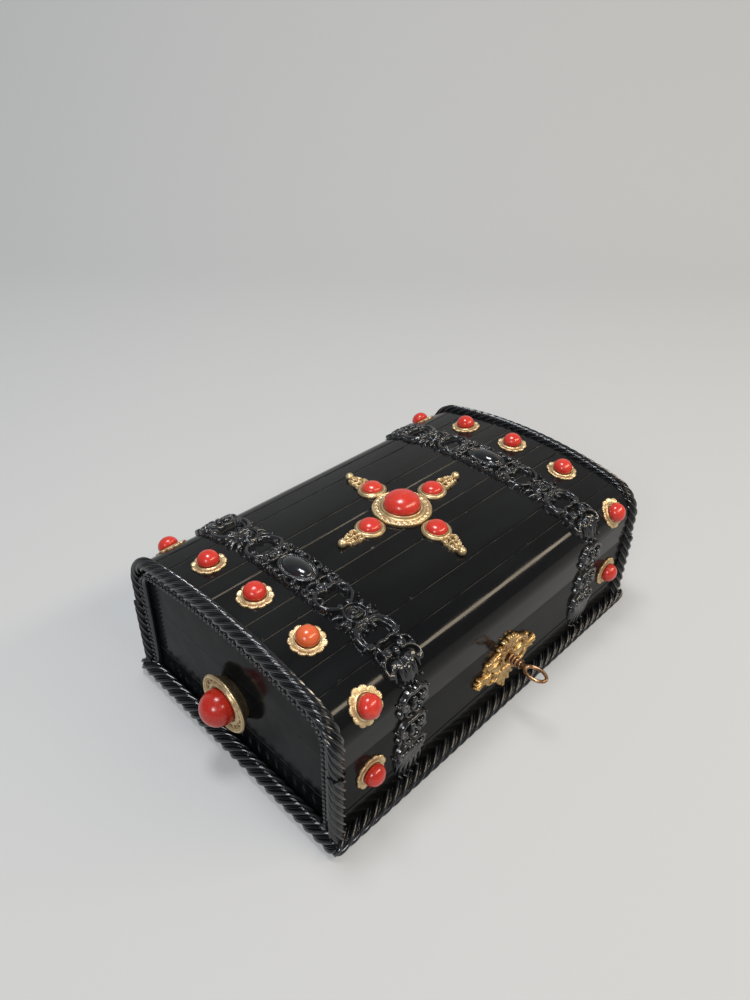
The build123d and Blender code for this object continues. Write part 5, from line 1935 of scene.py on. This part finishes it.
@dataclass
class Escutcheon:
    """Gilt rococo escutcheon on the front, with a keyhole."""

    finishes: Finishes
    height: float = 38.2
    key_up: float = 4.8
    half_width: float = 30.4
    half_height: float = 22.4
    step: float = 0.24
    depth: float = 1.4

    def ground(self, c: Carving) -> None:
        """Low ground that joins the ornaments."""
        c.dome((0, -0.5), (9.6, 17.5), 0.9, 1.5, 0, 0.3)
        c.dome((11.5, 1.8), (10.0, 8.2), 0.9, 1.4, 0, 0.3)
        c.dome((20, -0.4), (7.6, 4.2), 0.3, 0.6, 0, 0.3)

    def shells(self, c: Carving) -> None:
        """Lobed shells at the head and the foot."""
        for near, far, low in ((0.0, 0.0, 19.4), (1.9, 4.4, 18.4), (3.7, 8.2, 15.2)):
            line = smooth_path([(near, 11.2), (near * 0.5 + far * 0.5, 14.4), (far, low)])
            c.stroke(line, (1.1, 1.9), (2.6, 3.3), 0.12)
            c.dome((far * 1.02, low + 0.2), (2.2, 1.5), 0.9, 2.8)
        for near, far, low in ((0.0, 0.0, -19.8), (1.6, 3.8, -16.0), (3.0, 6.6, -12.2)):
            line = smooth_path([(near, -4.8), (near * 0.5 + far * 0.5, -9.6), (far, low)])
            c.stroke(line, (1.2, 1.6), (3.2, 2.5), 0.15)
            c.dome((far, low), (1.6, 1.7), 0.8, 2.7)

    def wings(self, c: Carving) -> None:
        """Ovals, scrolls and fluted fans towards the slim ends."""
        c.ring((11.4, 2.6), (5.2, 4.0), 1.3, 1.0, 3.0)
        c.dome((11.4, 2.6), (4.2, 3.1), 1.6, 4.0, 20)
        c.dome((6.4, -5.6), (2.2, 3.0), 1.2, 3.6, 24)
        upper = [(4.8, 10.6), (9.4, 12.4), (14.4, 11.4), (18.2, 8.4)]
        c.scroll(upper, 1.7, 1.2, -1, (1.4, 0.9), (3.2, 3.2), 0.1)
        lower = [(8.6, -4.6), (12.4, -7.4), (16.6, -7.0), (19.4, -4.4)]
        c.scroll(lower, 1.6, 1.2, 1, (1.3, 0.85), (3.0, 3.1), 0.1)
        tips = ((27.0, 3.4), (28.6, 1.0), (28.8, -1.6), (26.4, -4.0))
        for i, (far, low) in enumerate(tips):
            start = 2.6 - 1.6 * i
            c.stroke(smooth_path([(16.8, start), (21.6, start * 0.8), (far, low)]), (0.8, 1.0), (3.4, 2.7))
        c.leaf([(6.0, 8.2), (9.6, 9.0), (14.0, 7.4)], 1.3, 2.8)
        c.leaf([(16.8, 10.6), (19.4, 9.6), (21.6, 6.6)], 1.2, 2.8)
        c.leaf([(6.6, -9.0), (9.4, -10.2), (12.6, -9.2)], 1.2, 2.8)

    def carve(self) -> Carving:
        """Height map of the escutcheon, half of it mirrored."""
        across = np.linspace(0, self.half_width, int(self.half_width / self.step) + 1)
        along = np.linspace(-self.half_height, self.half_height, int(2 * self.half_height / self.step) + 1)
        c = Carving(*np.meshgrid(across, along), 1.0)
        self.ground(c)
        self.shells(c)
        self.wings(c)
        c.ring((0, self.key_up), (4.7, 5.2), 2.0, 1.2, 3.1)
        keyhole = np.hypot(c.across, c.along - self.key_up) < 2.9
        slot = (c.across < 1.3) & (c.along < self.key_up) & (c.along > self.key_up - 7.0)
        c.heights = np.where(keyhole | slot, -c.sunk, c.heights)
        c.heights = soften(c.heights, 1)
        return c.mirrored()

    def build(self) -> None:
        """Make the escutcheon."""
        front = CASE.half_depth
        solid = relief_solid(
            self.carve(), lambda u, v, h: np.stack([u, -front - h, self.height + v], -1), self.depth
        )
        piece = make_mesh("rococo_escutcheon", solid, self.finishes.rich_gilt)
        settle(piece, Body.BASE, ["escutcheon", "escutcheon_pins"], "pierced escutcheon")


@dataclass
class Key:
    """Key in the lock: ringed collar, oval bow and a plain bit."""

    finishes: Finishes
    height: float = 43.0
    shank_radius: float = 2.0
    tip: float = 77.2
    collar_foot: float = 90.6
    collar_radius: float = 3.5
    bow_start: float = 101.0
    bow_length: float = 16.0
    bow_width: float = 11.0
    bow_band: float = 2.1
    bit_radius: float = 6.2
    bit_width: float = 3.0
    bit_thickness: float = 1.2

    def stem(self) -> tuple[np.ndarray, list]:
        """Turned shank and ringed collar."""
        y, r = self.collar_foot, self.collar_radius
        shank = self.shank_radius
        profile = [(0, self.tip), (1.7, self.tip), (shank, self.tip + 0.4), (shank, y), (r * 0.75, y + 0.1)]
        for share, start, end in ((1.0, 0.5, 1.9), (0.94, 3.0, 4.0), (0.9, 5.1, 6.1), (0.86, 7.2, 8.4)):
            ring, neck = share * r, share * r * 0.72
            profile += [(ring, y + start), (ring, y + end)]
            profile += [(neck, y + end + 0.4), (neck * 0.98, y + end + 0.8)]
        profile += [(1.9, y + 9.7), (1.6, y + 10.8), (0, y + 11.4)]
        profile = rounded(profile, 3)
        return turned(profile, 48)

    def bow(self) -> tuple[np.ndarray, list]:
        """Oval ring with a rounded section, a little wider at its root."""
        around, section = 96, 20
        points = []
        for i in range(around):
            a = 2 * math.pi * i / around
            wide = self.bow_band / 2 * (1 + 0.18 * max(math.sin(a), 0) ** 2)
            middle = (
                (self.bow_width - self.bow_band) / 2 * math.cos(a),
                (self.bow_length - self.bow_band) / 2 * math.sin(a),
            )
            out = np.array([math.cos(a) / self.bow_width, math.sin(a) / self.bow_length])
            out = out / np.hypot(*out)
            for j in range(section):
                b = 2 * math.pi * j / section
                shift = wide * math.cos(b)
                points.append((middle[0] + out[0] * shift, middle[1] + out[1] * shift, 1.12 * math.sin(b)))
        faces = []
        for i in range(around):
            for j in range(section):
                k, m = (i + 1) % around, (j + 1) % section
                faces.append((i * section + j, k * section + j, k * section + m, i * section + m))
        return np.array(points), faces

    def bit(self) -> tuple[np.ndarray, list]:
        """Flat bit with its corners eased."""
        low_y, high_y = self.tip + 0.5, self.tip + 0.5 + self.bit_width
        half, ease = self.bit_thickness / 2, 0.25
        outline = [
            (-0.8, low_y), (-self.bit_radius + ease, low_y), (-self.bit_radius, low_y + ease),
            (-self.bit_radius, high_y - ease), (-self.bit_radius + ease, high_y), (-0.8, high_y),
        ]
        count = len(outline)
        points = [(x, y, z) for z in (-half, half) for x, y in outline]
        faces = [list(range(count)), list(range(count, 2 * count))]
        faces += [(i, (i + 1) % count, count + (i + 1) % count, count + i) for i in range(count)]
        return np.array(points), faces

    def build(self) -> None:
        """Make the key as one piece."""
        stem, stem_faces = self.stem()
        stem = np.stack([stem[:, 0], -stem[:, 2], self.height + stem[:, 1]], 1)
        bow, bow_faces = self.bow()
        middle = self.bow_start + self.bow_length / 2
        bow = np.stack([bow[:, 0], bow[:, 1] - middle, self.height + bow[:, 2]], 1)
        bit, bit_faces = self.bit()
        bit = np.stack([bit[:, 0], -bit[:, 1], self.height + bit[:, 2]], 1)
        parts = []
        for points, faces in ((stem, stem_faces), (bow, bow_faces), (bit, bit_faces)):
            ground = np.zeros(len(points))
            # Painted shade: on the collar, the hollow mark darkens the narrow necks between its rings.
            if points is stem:
                reach = np.hypot(points[:, 0], points[:, 2] - self.height)
                ground = np.clip((2.9 - reach) / 0.5, 0, 0.8) * (points[:, 1] < -self.collar_foot)
            parts.append((points, faces, {"hollow": ground}))
        solid = join_parts(parts)
        piece = make_mesh("turned_key", solid, self.finishes.bronze)
        sharpen(piece, 50)
        settle(piece, Body.KEY, ["key"], "key with an oval bow")


@dataclass
class Lining:
    """Velvet panels inside the walls and lid, and the pad on the floor."""

    finishes: Finishes
    inner_length: float = 124.0
    inner_depth: float = 77.0
    wall: float = 10.0
    floor: float = 6.0
    top: float = 58.85
    lid_foot: float = 61.15
    thickness: float = 1.5
    edge: float = 0.7
    pad: float = 4.0
    pad_edge: float = 1.2
    pad_half: Point2 = (122.1, 75.1)
    lock_half: float = 23.4
    lock_foot: float = 31.6

    def panel(self, place: Place, size: Point2, full: float, thin: float) -> Solid:
        """Soft panel, full in the middle and pulled in at its edges.

        Args:
            place: turns shares across and along, and a thickness, into points.
            size: how long its sides are.
            full: thickness in the middle.
            thin: thickness at its edge.

        Returns:
            Points, faces and marks.
        """
        rows, columns = (int(max(8, min(s / 2.5, 90))) for s in (size[1], size[0]))
        steps = [np.linspace(0, 1, n) for n in (columns, rows)]
        u, v = np.meshgrid(*[0.175 * (1 - np.cos(math.pi * s)) + 0.65 * s for s in steps])
        near = np.minimum(np.minimum(u, 1 - u) * size[0], np.minimum(v, 1 - v) * size[1])
        swell = np.clip(near / 5.0, 0, 1)
        swell = np.sqrt(np.clip(1 - (1 - swell) ** 2, 0, 1))
        ripple = 0.12 * np.sin(u * size[0] * 0.21 + 2 * np.sin(v * 5)) * np.sin(v * size[1] * 0.23 + 1)
        height = thin + (full - thin) * swell * (0.9 + 0.1 * ripple * 5)
        top = place(u, v, height).reshape(-1, 3)
        flat = place(u, v, np.zeros_like(u)).reshape(-1, 3)
        count = rows * columns
        faces = grid_faces(rows, columns) + [tuple(reversed(f)) for f in grid_faces(rows, columns, count)]
        rim = [*range(columns), *[r * columns + columns - 1 for r in range(1, rows)]]
        rim += [count - 1 - i for i in range(1, columns)] + [r * columns for r in range(rows - 2, 0, -1)]
        for a, b in zip(rim, rim[1:] + rim[:1]):
            faces.append((a, b, b + count, a + count))
        return np.concatenate([top, flat]), faces, {}

    def walls(self) -> None:
        """Panels on the four walls, the front one round the lock's cover."""
        x1, y1, z0, z1 = self.inner_length, self.inner_depth, self.floor, self.top
        inner = x1 - self.thickness
        parts = []

        def upright(face: int, low: float, high: float, foot: float, head: float) -> None:
            """Panel on the front or back between two places."""
            parts.append(
                self.panel(
                    lambda u, v, h: np.stack(
                        [low + (high - low) * u, face * (y1 - h), foot + (head - foot) * v], -1
                    ),
                    (high - low, head - foot),
                    self.thickness,
                    self.edge,
                )
            )

        upright(1, -inner, inner, z0, z1)
        upright(-1, -inner, -self.lock_half, z0, z1)
        upright(-1, self.lock_half, inner, z0, z1)
        upright(-1, -self.lock_half, self.lock_half, z0, self.lock_foot)
        for side in (-1, 1):
            parts.append(
                self.panel(
                    lambda u, v, h, s=side: np.stack(
                        [s * (x1 - h), (2 * u - 1) * y1, z0 + (z1 - z0) * v], -1
                    ),
                    (2 * y1, z1 - z0),
                    self.thickness,
                    self.edge,
                )
            )
        solid = join_parts(parts)
        piece = make_mesh("wall_lining_velvet", solid, self.finishes.velvet)
        settle(piece, Body.BASE, ["base_wall_lining"], "velvet wall panels")

    def inside_lid(self) -> None:
        """Panel under the arch and one on each end."""
        end_run = CASE.run_at(self.lid_foot)
        inner = self.inner_length
        arch = self.panel(
            lambda u, v, h: CASE.point((2 * u - 1) * inner, (2 * v - 1) * end_run, -self.wall - h),
            (2 * inner, 2 * end_run),
            self.thickness,
            self.edge,
        )
        parts = [arch]
        reach = self.inner_depth - 0.4
        profile = CASE.point(0.0, np.linspace(-end_run, end_run, 400), -self.wall - 0.2)
        order = np.argsort(profile[:, 1])
        for side in (-1, 1):

            def place(u: np.ndarray, v: np.ndarray, h: np.ndarray, s: int = side) -> np.ndarray:
                """Point on an end panel, its top on the arch."""
                y = (2 * u - 1) * reach
                high = np.interp(y, profile[order, 1], profile[order, 2])
                return np.stack([s * (inner - h), y, self.lid_foot + (high - self.lid_foot) * v], -1)

            parts.append(self.panel(place, (2 * reach, 30.0), self.thickness, self.edge))
        solid = join_parts(parts)
        piece = make_mesh("lid_lining_velvet", solid, self.finishes.velvet)
        settle(piece, Body.LID, ["lid_lining"], "velvet lid panels")

    def floor_pad(self) -> None:
        """Crowned pad on the floor."""
        half = self.pad_half
        solid = self.panel(
            lambda u, v, h: np.stack([(2 * u - 1) * half[0], (2 * v - 1) * half[1], self.floor + h], -1),
            (2 * half[0], 2 * half[1]),
            self.pad - 0.05,
            self.pad_edge,
        )
        piece = make_mesh("floor_pad_velvet", solid, self.finishes.velvet)
        settle(piece, Body.BASE, ["floor_pad"], "velvet floor pad")

    def build(self) -> None:
        """Make every lining piece."""
        self.walls()
        self.inside_lid()
        self.floor_pad()


# Stage


@dataclass
class Studio:
    """Pale floor, backdrop, soft lamps and the camera."""

    camera_place: Point3 = (-0.2867, -0.2536, 0.3756)
    yaw: float = 46.02
    pitch: float = 34.71
    roll: float = 1.19
    focal_pixels: float = 762.9
    frame_pixels: float = 1000.0
    film: float = 36.0

    def camera(self) -> None:
        """Camera at the photograph's place."""
        yaw, pitch, roll = (math.radians(a) for a in (self.yaw, self.pitch, self.roll))
        ahead = Vector(
            (math.sin(yaw) * math.cos(pitch), math.cos(yaw) * math.cos(pitch), -math.sin(pitch))
        )
        right = Vector((math.cos(yaw), -math.sin(yaw), 0))
        above = right.cross(ahead)
        turned_right = right * math.cos(roll) + above * math.sin(roll)
        turned_above = above * math.cos(roll) - right * math.sin(roll)
        data = bpy.data.cameras.new("camera")
        data.sensor_fit = "AUTO"
        data.sensor_width = self.film
        data.lens = self.focal_pixels / self.frame_pixels * self.film
        data.clip_start = 0.01
        camera = link_object("camera", data)
        turn = Matrix((turned_right, turned_above, -ahead)).transposed().to_4x4()
        camera.matrix_world = Matrix.Translation(self.camera_place) @ turn
        bpy.context.scene.camera = camera

    def lamp(
        self, name: str, place: Point3, aim: Point3, size: Point2, power: float, colour: Colour
    ) -> None:
        """Soft rectangular lamp that points at a place."""
        data = bpy.data.lights.new(name, "AREA")
        data.shape = "RECTANGLE"
        data.size, data.size_y = size
        data.energy = power
        data.color = colour
        lamp = link_object(name, data)
        way = Vector(aim) - Vector(place)
        lamp.matrix_world = Matrix.Translation(place) @ way.to_track_quat("-Z", "Y").to_matrix().to_4x4()

    def floor(self) -> None:
        """Pale floor that curves up into a backdrop."""
        half, rise, bend = 3.0, 2.4, 0.5
        away = Vector((math.sin(math.radians(self.yaw)), math.cos(math.radians(self.yaw)), 0))
        side = Vector((away.y, -away.x, 0))
        back = 0.75
        section = [(-half, 0.0)]
        for i in range(13):
            a = math.pi / 2 * i / 12
            section.append((back + bend * math.sin(a), bend * (1 - math.cos(a))))
        section.append((back + bend, rise))
        points = []
        for far, high in section:
            for across in (-half, half):
                spot = away * far + side * across
                points.append((spot.x, spot.y, high))
        mesh = bpy.data.meshes.new("floor")
        mesh.from_pydata(points, [], [tuple(f) for f in grid_faces(len(section), 2)])
        mesh.polygons.foreach_set("use_smooth", np.ones(len(mesh.polygons), bool))
        stage = PlainStage("pale_paper", (0.52, 0.52, 0.52), (0.58, 0.60, 0.61), 0.4)
        mesh.materials.append(stage.material())
        piece = link_object("floor", mesh)

    def world(self) -> None:
        """Even pale surroundings."""
        world = bpy.data.worlds.new("studio")
        world.use_nodes = True
        ground = world.node_tree.nodes["Background"]
        ground.inputs["Color"].default_value = (0.80, 0.84, 0.90, 1.0)
        ground.inputs["Strength"].default_value = 0.28
        bpy.context.scene.world = world

    def build(self) -> None:
        """Set up the stage."""
        settings = bpy.context.scene.view_settings
        settings.view_transform = "Standard"
        self.camera()
        self.floor()
        self.world()
        self.lamp("overhead", (-0.1, 0.15, 1.3), (0, 0, 0.05), (0.3, 0.3), 10, (0.95, 0.97, 1.0))
        self.lamp("warm_strip", (0.6, -0.9, 1.0), (0.6, 0, 0.05), (1.6, 0.2), 15, (1.0, 0.85, 0.64))
        self.lamp("window", (-1.2, -0.5, 0.9), (0, 0, 0.05), (0.35, 0.35), 7, (0.93, 0.96, 1.0))


def main() -> None:
    """Build every sub-assembly of the casket and its stage."""
    finishes = Finishes()
    trees = Trees()
    Studio().build()
    Woodwork(finishes).dress()
    Ropes(finishes, trees).build()
    Straps(finishes).build()
    Studs(finishes, trees).build()
    Cross(finishes, trees).build()
    EndBosses(finishes).build()
    Escutcheon(finishes).build()
    Key(finishes).build()
    Lining(finishes).build()


if __name__ == "__main__":
    main()
